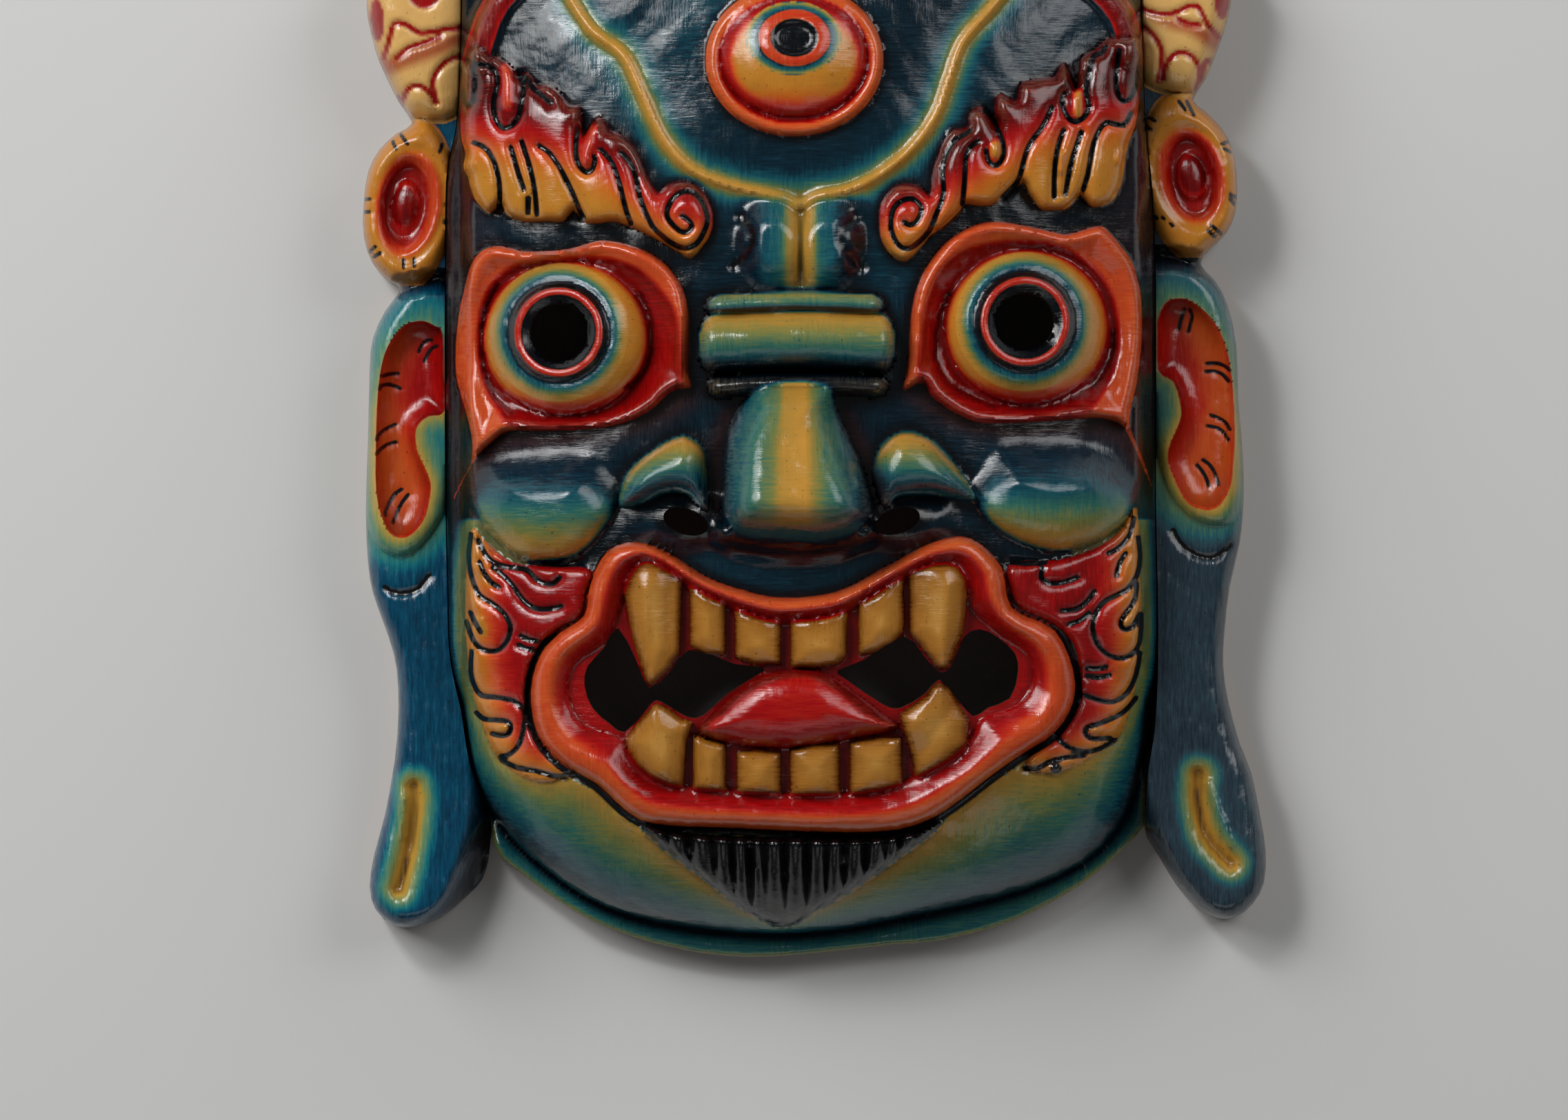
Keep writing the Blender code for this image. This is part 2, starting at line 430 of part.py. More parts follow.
def board_relief(outline, skull_edge, disc, ear, lobe, slit):
    """Returns the relief of one board: skull, ear disc, long ear and slit lobe."""
    centre, half, tilt = disc
    thick = BOARD_DEPTH / SHARE
    round_edge = BOARD_EDGE / SHARE

    def relief(x, y):
        edge = depth_in(outline, x, y, 0)
        z = thick * (0.62 + 0.38 * rise(edge, round_edge))
        z = z + 8 * rise(depth_in(skull_edge, x, y), 11)
        turn = math.radians(tilt)
        across = ((x - centre[0]) * math.cos(turn) + (y - centre[1]) * math.sin(turn)) / half[0]
        up = ((y - centre[1]) * math.cos(turn) - (x - centre[0]) * math.sin(turn)) / half[1]
        ring = np.hypot(across, up)
        dished = 7 * np.sqrt(np.clip(1 - ((ring - 0.8) / 0.24) ** 2, 0, 1)) - 5 * ease((0.7 - ring) / 0.3)
        z = z + np.where(ring < 1.04, dished + 7 * bead(ring, 0.3), 0)
        z = z + 4 * rise(depth_in(ear[0], x, y), 5)
        z = z - 9 * rise(depth_in(ear[1], x, y), 7)
        neck = bead(far_from(ear[2], x, y), 4)
        z = z - 6 * neck
        hang = depth_in(lobe, x, y)
        below = ease((-86 - y) / 8) * ease(-hang / 9)
        z = z * (1 - 0.8 * below)
        return z - 5 * bead(far_from(smooth_line(slit), x, y), 3.5)
    return relief


LEFT_SKULL = [(-104, 126), (-118, 132.5), (-133, 121), (-135.4, 108), (-133.8, 98.5), (-131.3, 90),
              (-125.5, 78), (-120, 73), (-107, 74), (-104, 90)]
RIGHT_SKULL = [(104, 126), (118.5, 134), (133, 124), (134.7, 114), (133.4, 104), (130.5, 95),
               (126.5, 85), (122, 80.5), (113, 81.5), (106, 86), (104, 100)]
LEFT_EAR = [(-108, 19), (-123, 19.5), (-129.5, 12.6), (-133.4, 4), (-134.4, -6), (-135, -30),
            (-135.6, -50), (-132, -60), (-124, -64), (-116, -58), (-110, -46), (-107, -20)]
RIGHT_EAR = [(108, 27), (118, 27.4), (126, 24.8), (132, 18), (136, 2), (136.6, -14), (138, -32),
             (138.3, -46), (134, -53), (127, -54), (119, -49), (113, -38), (108, -10)]
LEFT_EAR_HOLLOW = [(-111.4, 5.4), (-117, 9.2), (-123.6, 7.7), (-128.5, 1.4), (-131.1, -8.4),
                   (-132.1, -24), (-132.1, -44), (-129.2, -54.5), (-122.9, -58.1), (-116.7, -51.2),
                   (-115, -43), (-119.3, -31), (-119.6, -24.2), (-115.7, -20.3), (-110.8, -19.1),
                   (-110.8, -8)]
RIGHT_EAR_HOLLOW = [(111.1, 8.7), (114.1, 15.3), (121.3, 15.6), (127.2, 11), (131.8, 3.4),
                    (134.3, -7.8), (135.3, -24.2), (134.5, -38.7), (130.9, -47.6), (124.6, -49.2),
                    (118.7, -44.6), (115.1, -36.7), (115.4, -28.2), (118.5, -19), (117, -11),
                    (111.4, -6.4)]
LEFT_LOBE = [(-111, -80), (-107, -104), (-104.2, -122), (-103.2, -138), (-104.2, -147),
             (-107.8, -158.6), (-112.4, -169.7), (-117, -175), (-124.5, -178.6), (-131, -176),
             (-134, -166), (-129.6, -144.5), (-125.4, -112), (-128.5, -89), (-133, -76)]
RIGHT_LOBE = [(111.5, -80), (111.2, -108), (108.8, -130.9), (112.1, -146), (116.7, -157.9),
              (122.6, -167.1), (130, -174), (136, -176), (141.1, -172), (144.9, -164), (143.3, -144),
              (137.1, -122.4), (131.9, -98), (133, -76)]
LEFT_SLIT = [(-120.5, -136), (-120, -141), (-121.3, -151), (-123.3, -160.5), (-125.2, -167.5)]
RIGHT_SLIT = [(124, -132), (124, -141), (126.6, -150.7), (130.5, -156), (134, -159.5)]
LEFT_NECK = [(-108, 21.5), (-117, 21.5), (-124, 20)]
RIGHT_NECK = [(108, 29), (117, 29), (125, 27)]
LEFT_DISC = ((-122.9, 45.5), (13.6, 24.6), -6)
RIGHT_DISC = ((121.8, 54), (13.9, 24.3), 10)


def new_collection(name):
    """An empty collection in the scene."""
    collection = bpy.data.collections.new(name)
    bpy.context.scene.collection.children.link(collection)
    return collection


def own(piece, collection):
    """Moves an object into one collection only."""
    for holder in list(piece.users_collection):
        holder.objects.unlink(piece)
    collection.objects.link(piece)
    return piece


def paint(name, colour, roughness, metallic=0.0):
    """A varnished paint."""
    material = bpy.data.materials.new(name)
    material.use_nodes = True
    shader = material.node_tree.nodes["Principled BSDF"]
    shader.inputs["Base Color"].default_value = (*colour, 1)
    shader.inputs["Roughness"].default_value = roughness
    shader.inputs["Metallic"].default_value = metallic
    return material


def prism(name, outline, low, high, collection):
    """An upright prism on a closed outline given in shares."""
    curve = bpy.data.curves.new(name, "CURVE")
    curve.dimensions = "2D"
    curve.fill_mode = "BOTH"
    curve.extrude = (high - low) / 2
    line = curve.splines.new("POLY")
    line.points.add(len(outline) - 1)
    for point, (x, y) in zip(line.points, outline):
        point.co = (x * SHARE, y * SHARE, 0, 1)
    line.use_cyclic_u = True
    drawn = bpy.data.objects.new(name + "_line", curve)
    drawn.location.z = (high + low) / 2
    collection.objects.link(drawn)
    bpy.context.view_layer.update()
    shape = bpy.data.meshes.new_from_object(drawn.evaluated_get(bpy.context.evaluated_depsgraph_get()))
    solid = bpy.data.objects.new(name, shape)
    solid.matrix_world = drawn.matrix_world.copy()
    bpy.data.objects.remove(drawn)
    collection.objects.link(solid)
    body = bmesh.new()
    body.from_mesh(shape)
    bmesh.ops.remove_doubles(body, verts=body.verts, dist=1e-6)
    bmesh.ops.recalc_face_normals(body, faces=body.faces)
    body.to_mesh(shape)
    body.free()
    return solid


def carved_block(name, outline, relief, cell, facets, floor, collection):
    """A block whose top follows a relief: a fine grid is carved, thinned and given a flat underside."""
    low_x, low_y = (min(point[axis] for point in outline) - SPARE for axis in (0, 1))
    high_x, high_y = (max(point[axis] for point in outline) + SPARE for axis in (0, 1))
    width, length = (high_x - low_x) * SHARE, (high_y - low_y) * SHARE
    bpy.ops.mesh.primitive_grid_add(x_subdivisions=round(width / cell), y_subdivisions=round(length / cell),
                                    size=1)
    block = own(bpy.context.active_object, collection)
    block.name = block.data.name = name
    places = np.empty(len(block.data.vertices) * 3)
    block.data.vertices.foreach_get("co", places)
    places = places.reshape(-1, 3)
    x = (low_x + high_x) / 2 + places[:, 0] * (high_x - low_x)
    y = (low_y + high_y) / 2 + places[:, 1] * (high_y - low_y)
    places[:] = np.stack((x, y, relief(x, y)), axis=1) * SHARE
    block.data.vertices.foreach_set("co", places.ravel())
    thin = block.modifiers.new("thin", "DECIMATE")
    thin.ratio = min(1.0, facets / (2 * len(block.data.polygons)))
    bpy.context.view_layer.update()
    thinned = bpy.data.meshes.new_from_object(block.evaluated_get(bpy.context.evaluated_depsgraph_get()))
    block.modifiers.clear()
    block.data = thinned
    body = bmesh.new()
    body.from_mesh(thinned)
    bottom = bmesh.ops.extrude_face_region(body, geom=body.faces[:])["geom"]
    for vertex in (part for part in bottom if isinstance(part, bmesh.types.BMVert)):
        vertex.co.z = floor
    bmesh.ops.recalc_face_normals(body, faces=body.faces)
    body.to_mesh(thinned)
    body.free()
    return block


def cut(piece, tool, how="DIFFERENCE"):
    """Cuts a piece with a tool, or keeps only what both hold."""
    boolean = piece.modifiers.new(tool.name, "BOOLEAN")
    boolean.operation = how
    boolean.solver = "EXACT"
    boolean.object = tool
    tool.hide_render = True
    tool.display_type = "WIRE"


def drill(name, radii, place, turn, collection):
    """A round or oval cutter straight through the face."""
    bpy.ops.mesh.primitive_cylinder_add(vertices=24, radius=1, depth=1)
    tool = own(bpy.context.active_object, collection)
    tool.name = name
    middle = (place[0] * SHARE, place[1] * SHARE, (ABOVE_ALL + BEHIND_ALL) / 2)
    size = Matrix.Diagonal((radii[0], radii[1], ABOVE_ALL - BEHIND_ALL, 1))
    tool.data.transform(Matrix.Translation(middle) @ Matrix.Rotation(math.radians(turn), 4, "Z") @ size)
    return tool


def make_face(parts, cutters, material):
    """The face: carved block, trimmed to its outline, hollowed, and opened at eyes, nose and mouth."""
    outline = face_outline()
    face = carved_block("face", outline, face_relief, FACE_CELL, FACE_FACETS, BEHIND_ALL, parts)
    face.data.materials.append(material)
    cut(face, prism("face_trim", outline, 0, ABOVE_ALL, cutters), "INTERSECT")
    cut(face, carved_block("face_hollow", outline, hollow_relief, HOLLOW_CELL, HOLLOW_FACETS,
                           4 * BEHIND_ALL, cutters))
    for side, (_, _, _, hole) in zip(("left", "right"), EYES):
        cut(face, drill(side + "_eye_hole", (EYE_HOLE, EYE_HOLE), hole, 0, cutters))
    for side, (place, turn) in zip(("left", "right"), NOSTRILS):
        cut(face, drill(side + "_nostril", NOSTRIL, place, turn, cutters))
    for side, gap in (("left", LEFT_GAP), ("right", RIGHT_GAP)):
        cut(face, prism(side + "_mouth_gap", smooth_line(gap, True, 2), BEHIND_ALL, ABOVE_ALL, cutters))
    return face


def make_board(name, seam, free_edge, outwards, details, parts, cutters, material):
    """One ear board, trimmed to its outline."""
    outline = board_outline(seam, free_edge, outwards)
    board = carved_block(name, outline, board_relief(outline, *details), BOARD_CELL, BOARD_FACETS,
                         BEHIND_ALL, parts)
    board.data.materials.append(material)
    cut(board, prism(name + "_trim", outline, 0, ABOVE_ALL, cutters), "INTERSECT")
    return board


def lay_centred(pieces, tools):
    """Puts the origin under the middle of the box that holds the finished pieces."""
    bpy.context.view_layer.update()
    graph = bpy.context.evaluated_depsgraph_get()
    corners = np.array([piece.matrix_world @ vertex.co for piece in pieces
                        for vertex in piece.evaluated_get(graph).data.vertices])
    middle = (corners.min(axis=0) + corners.max(axis=0)) / 2
    stand = bpy.data.objects.new("mask_middle", None)
    pieces[0].users_collection[0].objects.link(stand)
    for item in pieces + tools:
        item.parent = stand
    stand.location = (-middle[0], -middle[1], 0)


for item in list(bpy.data.objects):
    bpy.data.objects.remove(item)

mask_parts = new_collection("mahakala_mask")
mask_cutters = new_collection("cutters")
face_piece = make_face(mask_parts, mask_cutters, paint("face_paint", (0.035, 0.105, 0.130), 0.28))
left_board = make_board("left_ear_board", LEFT_SEAM, LEFT_BOARD, -1,
                        (LEFT_SKULL, LEFT_DISC, (LEFT_EAR, LEFT_EAR_HOLLOW, LEFT_NECK), LEFT_LOBE,
                         LEFT_SLIT), mask_parts, mask_cutters,
                        paint("left_board_paint", (0.030, 0.120, 0.200), 0.30))
right_board = make_board("right_ear_board", RIGHT_SEAM, RIGHT_BOARD, 1,
                         (RIGHT_SKULL, RIGHT_DISC, (RIGHT_EAR, RIGHT_EAR_HOLLOW, RIGHT_NECK), RIGHT_LOBE,
                          RIGHT_SLIT), mask_parts, mask_cutters,
                         paint("right_board_paint", (0.070, 0.095, 0.120), 0.32))
lay_centred([face_piece, left_board, right_board], list(mask_cutters.objects))
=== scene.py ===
import math

import bpy
import numpy as np
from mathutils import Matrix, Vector


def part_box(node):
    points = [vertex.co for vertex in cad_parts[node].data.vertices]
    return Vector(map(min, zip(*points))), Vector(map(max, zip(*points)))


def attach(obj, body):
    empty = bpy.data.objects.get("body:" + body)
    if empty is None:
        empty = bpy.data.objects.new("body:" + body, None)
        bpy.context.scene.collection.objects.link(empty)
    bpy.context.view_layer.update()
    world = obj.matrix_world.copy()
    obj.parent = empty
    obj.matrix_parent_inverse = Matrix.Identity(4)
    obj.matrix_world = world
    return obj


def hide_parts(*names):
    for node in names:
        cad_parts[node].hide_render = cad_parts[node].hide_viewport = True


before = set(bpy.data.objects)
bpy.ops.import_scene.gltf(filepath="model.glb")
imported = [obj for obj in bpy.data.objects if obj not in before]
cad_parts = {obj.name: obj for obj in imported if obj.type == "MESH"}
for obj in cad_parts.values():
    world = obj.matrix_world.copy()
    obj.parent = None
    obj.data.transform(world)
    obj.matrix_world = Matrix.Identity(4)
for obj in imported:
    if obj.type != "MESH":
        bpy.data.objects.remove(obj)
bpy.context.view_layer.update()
bpy.ops.object.select_all(action="DESELECT")

# The face block
# One thick piece of light wood, hollow behind, carved from the front with gouges and knives, then
# primed, painted in thin coats that run from dark blue over green to gold, and varnished.
SHARE = 0.001              # one share of the carving, in metres
FACE_SQUARE = 0.98         # side of the squares that the face is carved in, in shares
FAR = 300.0                # further than any place on the mask
NEARBY = 5                 # how far round a fine line is looked at
LEFT_SEAM = [(-105.3, 120), (-105.2, 108), (-105.6, 94), (-106.1, 80), (-107.2, 68), (-109.4, 58),
             (-110.2, 44), (-110.4, 0), (-110.2, -50), (-109.6, -75), (-109.4, -88), (-108.6, -97),
             (-107, -105), (-105.4, -112), (-104.2, -120), (-102.8, -128), (-100, -136.5),
             (-97.2, -144), (-96.2, -150)]
RIGHT_SEAM = [(105.9, 120), (105.9, 108), (106.3, 95), (106.7, 82), (107.2, 70), (108.2, 60),
              (109.2, 50), (110.2, 30), (110.4, 0), (110.4, -50), (111, -75), (111.1, -95),
              (110.7, -108), (110, -118), (109, -125), (108, -131), (107.6, -140), (107.3, -148)]
CHIN_RIM = [(-95.6, -154), (-93.3, -158), (-86.2, -163.6), (-76.8, -170.7), (-65, -177.8),
            (-53.2, -182.5), (-41.4, -185.8), (-29.6, -188), (-17.8, -189), (-6, -188.7),
            (5.8, -187.8), (17.6, -186.4), (29.4, -185.2), (41.2, -184.3), (52.9, -181.9),
            (64.7, -178.4), (76.5, -173.1), (88.3, -166), (97.8, -158.3), (104.2, -152)]
CROWN_HALF = [(105, 127), (98, 135), (90, 139.5), (83, 141), (79, 150), (72, 162), (63, 168.5),
              (55, 170), (46, 167), (39, 160), (34, 157), (31, 163), (27, 175), (18, 184),
              (8, 188.3), (0, 189)]
CHIN_GROOVE = [(-109, -112), (-106, -124), (-103, -133), (-99.2, -140), (-94.5, -147),
               (-88.6, -154.2), (-79.1, -162.5), (-67.3, -170.7), (-53.2, -176.6), (-35.5, -180.1),
               (-17.8, -181.9), (0, -181.9), (17.6, -180.1), (35.3, -176.6), (52.9, -173),
               (70.6, -168.3), (88.3, -160.1), (98.9, -149.5), (104, -139), (107, -128), (111, -112)]
VAULT = [(-192, 34, 20), (-165, 47, 24), (-135, 58, 29), (-90, 65, 32), (-40, 68, 33), (20, 70, 34),
         (70, 71, 34), (110, 68, 33), (150, 61, 30), (192, 52, 26)]
VAULT_HALF_WIDTH = 113
VAULT_SQUARENESS = 2.4
VAULT_FULLNESS = 0.7
CROWN_SETBACK = 8
CROWN_STEP = 5
DIADEM = [(-101, 90), (-97, 103), (-90, 113), (-78, 120), (-60, 124), (-35, 125), (0, 125),
          (35, 125), (60, 124), (80, 120), (92, 113), (100, 104), (104, 92)]
WALL = 12
RIM_WIDTH = 12
RIM_STEP = 3
CHIN_FOOT = 4
CHIN_BEND = 38
HOLLOW_BEND = 26
NO_PAINT = -9              # depth inside a patch that stands for no paint at all, in shares
LAYERS = {"tone": 0.22, "ember": 0.2, "warm": NO_PAINT, "bone": NO_PAINT, "cream": 0,
          "ink": NO_PAINT, "hair": NO_PAINT, "rust": 0, "wash": 0, "crease": 0, "front": 1}


def smooth_line(points, closed=False, steps=2):
    """Points of a smooth curve through the given ones."""
    count = len(points)
    result = []
    for i in range(count if closed else count - 1):
        before = points[(i - 1) % count] if closed or i else points[i]
        here, after = points[i], points[(i + 1) % count]
        beyond = points[(i + 2) % count] if closed or i + 2 < count else after
        for step in range(steps):
            t = step / steps
            weights = (-0.5 * t + t * t - 0.5 * t ** 3, 1 - 2.5 * t * t + 1.5 * t ** 3,
                       0.5 * t + 2 * t * t - 1.5 * t ** 3, -0.5 * t * t + 0.5 * t ** 3)
            corners = (before, here, after, beyond)
            result.append(tuple(sum(w * p[axis] for w, p in zip(weights, corners)) for axis in (0, 1)))
    return result if closed else result + [tuple(points[-1])]


def close_to(line, x, y, reach):
    """Which places lie in the box round a line, widened by a reach."""
    xs, ys = zip(*line)
    return ((x > min(xs) - reach) & (x < max(xs) + reach)
            & (y > min(ys) - reach) & (y < max(ys) + reach))


def far_from(line, x, y, reach=FAR):
    """Distance of every place from a line, and the reach where it is further than that."""
    nearest = np.full(x.shape, float(reach))
    near = close_to(line, x, y, reach)
    px, py, best = x[near], y[near], nearest[near]
    for (ax, ay), (bx, by) in zip(line[:-1], line[1:]):
        run_x, run_y = bx - ax, by - ay
        t = np.clip(((px - ax) * run_x + (py - ay) * run_y) / (run_x ** 2 + run_y ** 2 + 1e-12), 0, 1)
        best = np.minimum(best, np.hypot(px - ax - t * run_x, py - ay - t * run_y))
    nearest[near] = best
    return nearest


def depth_in(outline, x, y, steps=3, reach=FAR):
    """How far every place lies inside a closed outline, less than zero outside it."""
    ring = smooth_line(outline, True, steps) if steps else list(outline)
    ring.append(ring[0])
    near = close_to(ring, x, y, 0)
    px, py = x[near], y[near]
    within = np.zeros(px.shape, bool)
    for (ax, ay), (bx, by) in zip(ring[:-1], ring[1:]):
        if ay != by:
            within ^= ((ay > py) != (by > py)) & (px < (bx - ax) * (py - ay) / (by - ay) + ax)
    side = np.full(x.shape, -1.0)
    side[near] = np.where(within, 1, -1)
    return side * far_from(ring, x, y, reach)


def rise(depth, width):
    """A quarter round: 0 at an edge and outside it, 1 from the given width inwards."""
    return np.sqrt(1 - (1 - np.clip(depth / width, 0, 1)) ** 2)


def ease(t):
    """A soft step from 0 to 1."""
    t = np.clip(t, 0, 1)
    return t * t * (3 - 2 * t)


def bead(distance, half_width):
    """A half round over a line."""
    return np.sqrt(1 - np.clip(distance / half_width, 0, 1) ** 2)


def mix(first, second, part):
    """The first where part is 0, the second where it is 1."""
    return first + (second - first) * part


def profile(stations, place):
    """Smooth curve of heights through stations, each a place and a height."""
    at = np.array([station[0] for station in stations], float)
    height = np.array([station[1] for station in stations], float)
    slope = np.gradient(height, at)
    i = np.clip(np.searchsorted(at, place) - 1, 0, len(at) - 2)
    gap = at[i + 1] - at[i]
    t = np.clip((place - at[i]) / gap, 0, 1)
    return (height[i] * (1 + 2 * t) * (1 - t) ** 2 + slope[i] * gap * t * (1 - t) ** 2
            + height[i + 1] * t * t * (3 - 2 * t) + slope[i + 1] * gap * t * t * (t - 1))


def above_chin_groove(x, y):
    """How far every place lies above the groove inside the chin rim."""
    side = CHIN_GROOVE[0][1]
    around = [(FAR, side), (FAR, FAR), (-FAR, FAR), (-FAR, side)]
    return depth_in(smooth_line(CHIN_GROOVE) + around, x, y, 0)


def face_outline():
    """Outer edge of the face: left side down, chin, right side up, crown."""
    left = smooth_line(LEFT_SEAM)
    chin = smooth_line(CHIN_RIM)
    right = smooth_line(RIGHT_SEAM)[::-1]
    crown_right = smooth_line(CROWN_HALF)
    crown_left = [(-x, y) for x, y in crown_right[-2::-1]]
    return left + chin + right + crown_right + crown_left


def plain_form(x, y):
    """The block rounded to a vault, set back where the crown's backing stands."""
    middle = profile([(up, height) for up, height, _ in VAULT], y)
    side = profile([(up, height) for up, _, height in VAULT], y)
    across = 1 - np.clip(np.abs(x) / VAULT_HALF_WIDTH, 0, 1) ** VAULT_SQUARENESS
    above = -depth_in(smooth_line(DIADEM) + [(104, -FAR), (-101, -FAR)], x, y, 0)
    return side + (middle - side) * across ** VAULT_FULLNESS - CROWN_SETBACK * ease(above / CROWN_STEP)


def hollow_behind(x, y):
    """Height of the hollow side of the face above the flat rim."""
    inside = depth_in(face_outline(), x, y, 0) - RIM_WIDTH
    form = plain_form(x, y) * rise(above_chin_groove(x, y) - CHIN_FOOT, CHIN_BEND)
    return np.maximum(0, np.maximum(0, form - WALL + RIM_STEP) * rise(inside, HOLLOW_BEND) - RIM_STEP)


def nearest_on(lines, x, y, reach):
    """Nearest place on some lines to each point, and how far it is."""
    best = np.full(x.shape, float(reach))
    to_x, to_y = x.copy(), y.copy()
    for line in lines:
        near = np.flatnonzero(close_to(line, x, y, reach))
        px, py = x[near], y[near]
        for (ax, ay), (bx, by) in zip(line[:-1], line[1:]):
            run_x, run_y = bx - ax, by - ay
            t = np.clip(((px - ax) * run_x + (py - ay) * run_y) / (run_x ** 2 + run_y ** 2 + 1e-12), 0, 1)
            on_x, on_y = ax + t * run_x, ay + t * run_y
            far = np.hypot(px - on_x, py - on_y)
            closer = far < best[near]
            best[near[closer]] = far[closer]
            to_x[near[closer]], to_y[near[closer]] = on_x[closer], on_y[closer]
    return to_x, to_y, best


def places_of(panel):
    """Coordinates of a mesh, one row a point."""
    places = np.empty(len(panel.data.vertices) * 3)
    panel.data.vertices.foreach_get("co", places)
    return places.reshape(-1, 3)


def sawn_panel(name, outline, holes, knife_lines, square):
    """A panel of fine squares sawn to its outline, pierced, and lined up with the knife lines."""
    low = np.min(outline, axis=0)
    high = np.max(outline, axis=0)
    bpy.ops.object.select_all(action="DESELECT")
    count = np.round((high - low) / square).astype(int)
    bpy.ops.mesh.primitive_grid_add(x_subdivisions=int(count[0]), y_subdivisions=int(count[1]), size=1)
    panel = bpy.context.active_object
    panel.name = panel.data.name = name
    places = places_of(panel)
    places[:, :2] = low + (places[:, :2] + 0.5) * (high - low)
    panel.data.vertices.foreach_set("co", places.ravel())
    middles = np.empty(len(panel.data.polygons) * 3)
    panel.data.polygons.foreach_get("center", middles)
    x, y = middles.reshape(-1, 3)[:, 0], middles.reshape(-1, 3)[:, 1]
    waste = depth_in(outline, x, y, 0) < 0
    for hole in holes:
        waste |= depth_in(hole, x, y, 0) > 0
    choose_faces(panel, waste)
    bpy.ops.object.mode_set(mode="EDIT")
    bpy.ops.mesh.delete(type="FACE")
    bpy.ops.mesh.select_mode(type="VERT")
    bpy.ops.mesh.select_all(action="DESELECT")
    bpy.ops.mesh.select_non_manifold()
    bpy.ops.object.mode_set(mode="OBJECT")
    edge = np.empty(len(panel.data.vertices), bool)
    panel.data.vertices.foreach_get("select", edge)
    places = places_of(panel)
    x, y = places[:, 0].copy(), places[:, 1].copy()
    carved_x, carved_y, far = nearest_on(knife_lines, x, y, square)
    on_line = (far < 0.5 * square) & ~edge
    x[on_line], y[on_line] = carved_x[on_line], carved_y[on_line]
    sawn = [line + line[:1] for line in [outline] + holes]
    sawn_x, sawn_y, _ = nearest_on(sawn, x[edge], y[edge], 3 * square)
    x[edge], y[edge] = sawn_x, sawn_y
    return panel, x, y


def choose_faces(panel, chosen):
    """Selects only the given faces."""
    bpy.context.tool_settings.mesh_select_mode = (False, False, True)
    for parts in (panel.data.vertices, panel.data.edges):
        parts.foreach_set("select", np.zeros(len(parts), bool))
    panel.data.polygons.foreach_set("select", chosen)


class Carving:
    """The front of one piece while it is carved and painted: places, heights and layers of paint."""

    def __init__(self, x, y, z):
        self.x, self.y, self.z = x, y, z
        self.paint = {name: np.full(x.shape, float(start)) for name, start in LAYERS.items()}

    def inside(self, outline, steps=3, reach=30):
        return depth_in(outline, self.x, self.y, steps, reach)

    def away(self, line, reach=30):
        return far_from(line, self.x, self.y, reach)

    def round_about(self, place, half, turn=0):
        """1 on an oval round a place, less inside it and more outside."""
        c, s = math.cos(math.radians(turn)), math.sin(math.radians(turn))
        across, up = self.x - place[0], self.y - place[1]
        return np.hypot((across * c + up * s) / half[0], (up * c - across * s) / half[1])

    def cover(self, layer, depth):
        """Adds a patch to a layer that holds how far inside its paint each place lies."""
        self.paint[layer] = np.maximum(self.paint[layer], np.clip(depth, NO_PAINT, -NO_PAINT))

    def tint(self, layer, value, part):
        """Blends a layer towards a value."""
        self.paint[layer] = mix(self.paint[layer], value, np.clip(part, 0, 1))

    def line(self, points, half, cut):
        """A line painted black, in a groove a little wider than the brush."""
        away = self.away(smooth_line(points), NEARBY)
        self.z = self.z - cut * np.exp(-(away / (half + 0.4)) ** 2)
        self.cover("ink", half - away)

    def drop(self, points, half, tall, heat):
        """A small raised drop along some points."""
        away = self.away(points, NEARBY)
        self.z = self.z + tall * bead(away, half)
        self.tint("ember", heat, (half + 0.6 - away) / 0.8)


def lengthwise(stops, along):
    """Values that change along a place, read from stops."""
    return np.interp(along, [stop[0] for stop in stops], [stop[1] for stop in stops])


# The drilled eye holes, the nostrils and the open corners of the mouth
# They go right through the wood. The eye holes are drilled, and the gaps beside the tongue are cut
# with a knife from the front.
EYE_HOLES = [(-74.8, 5.3), (69.4, 8.6)]
EYE_HOLE_RADIUS = 9
NOSTRILS = [((-35.5, -53.2), -18), ((30, -53), 18)]
NOSTRIL_HALF = (7.2, 4.0)
LEFT_GAP = [(-56.5, -86), (-61, -92.5), (-66, -98), (-67, -104), (-64.5, -111), (-59, -116),
            (-54.5, -118.5), (-48.3, -112.2), (-45.1, -108.6), (-41.2, -110.2), (-35, -113.8),
            (-30, -113.2), (-22.4, -106.4), (-12, -99.8), (-11, -98.4), (-20.5, -97.2),
            (-34.5, -92.8), (-40.5, -99.8), (-46.8, -104.6), (-50.8, -96.3)]
RIGHT_GAP = [(55.5, -86.5), (61, -89), (66.5, -94), (67.5, -100), (65, -108), (58, -111),
             (53.5, -113.6), (48.4, -108), (43, -102.2), (38.7, -106.5), (31, -111), (25.4, -109.8),
             (14, -102), (11.5, -99.3), (20, -95.8), (32.1, -88.6), (38, -94.5), (43, -99.8),
             (46.6, -98), (50.5, -89)]


def oval(place, half, turn=0, count=24):
    """Points round an oval."""
    c, s = math.cos(math.radians(turn)), math.sin(math.radians(turn))
    angles = [2 * math.pi * i / count for i in range(count)]
    around = [(half[0] * math.cos(a), half[1] * math.sin(a)) for a in angles]
    return [(place[0] + a * c - b * s, place[1] + a * s + b * c) for a, b in around]


holes = [oval(place, (EYE_HOLE_RADIUS, EYE_HOLE_RADIUS)) for place in EYE_HOLES]
holes += [oval(place, NOSTRIL_HALF, turn) for place, turn in NOSTRILS]
holes += [smooth_line(gap, True, 2) for gap in (LEFT_GAP, RIGHT_GAP)]

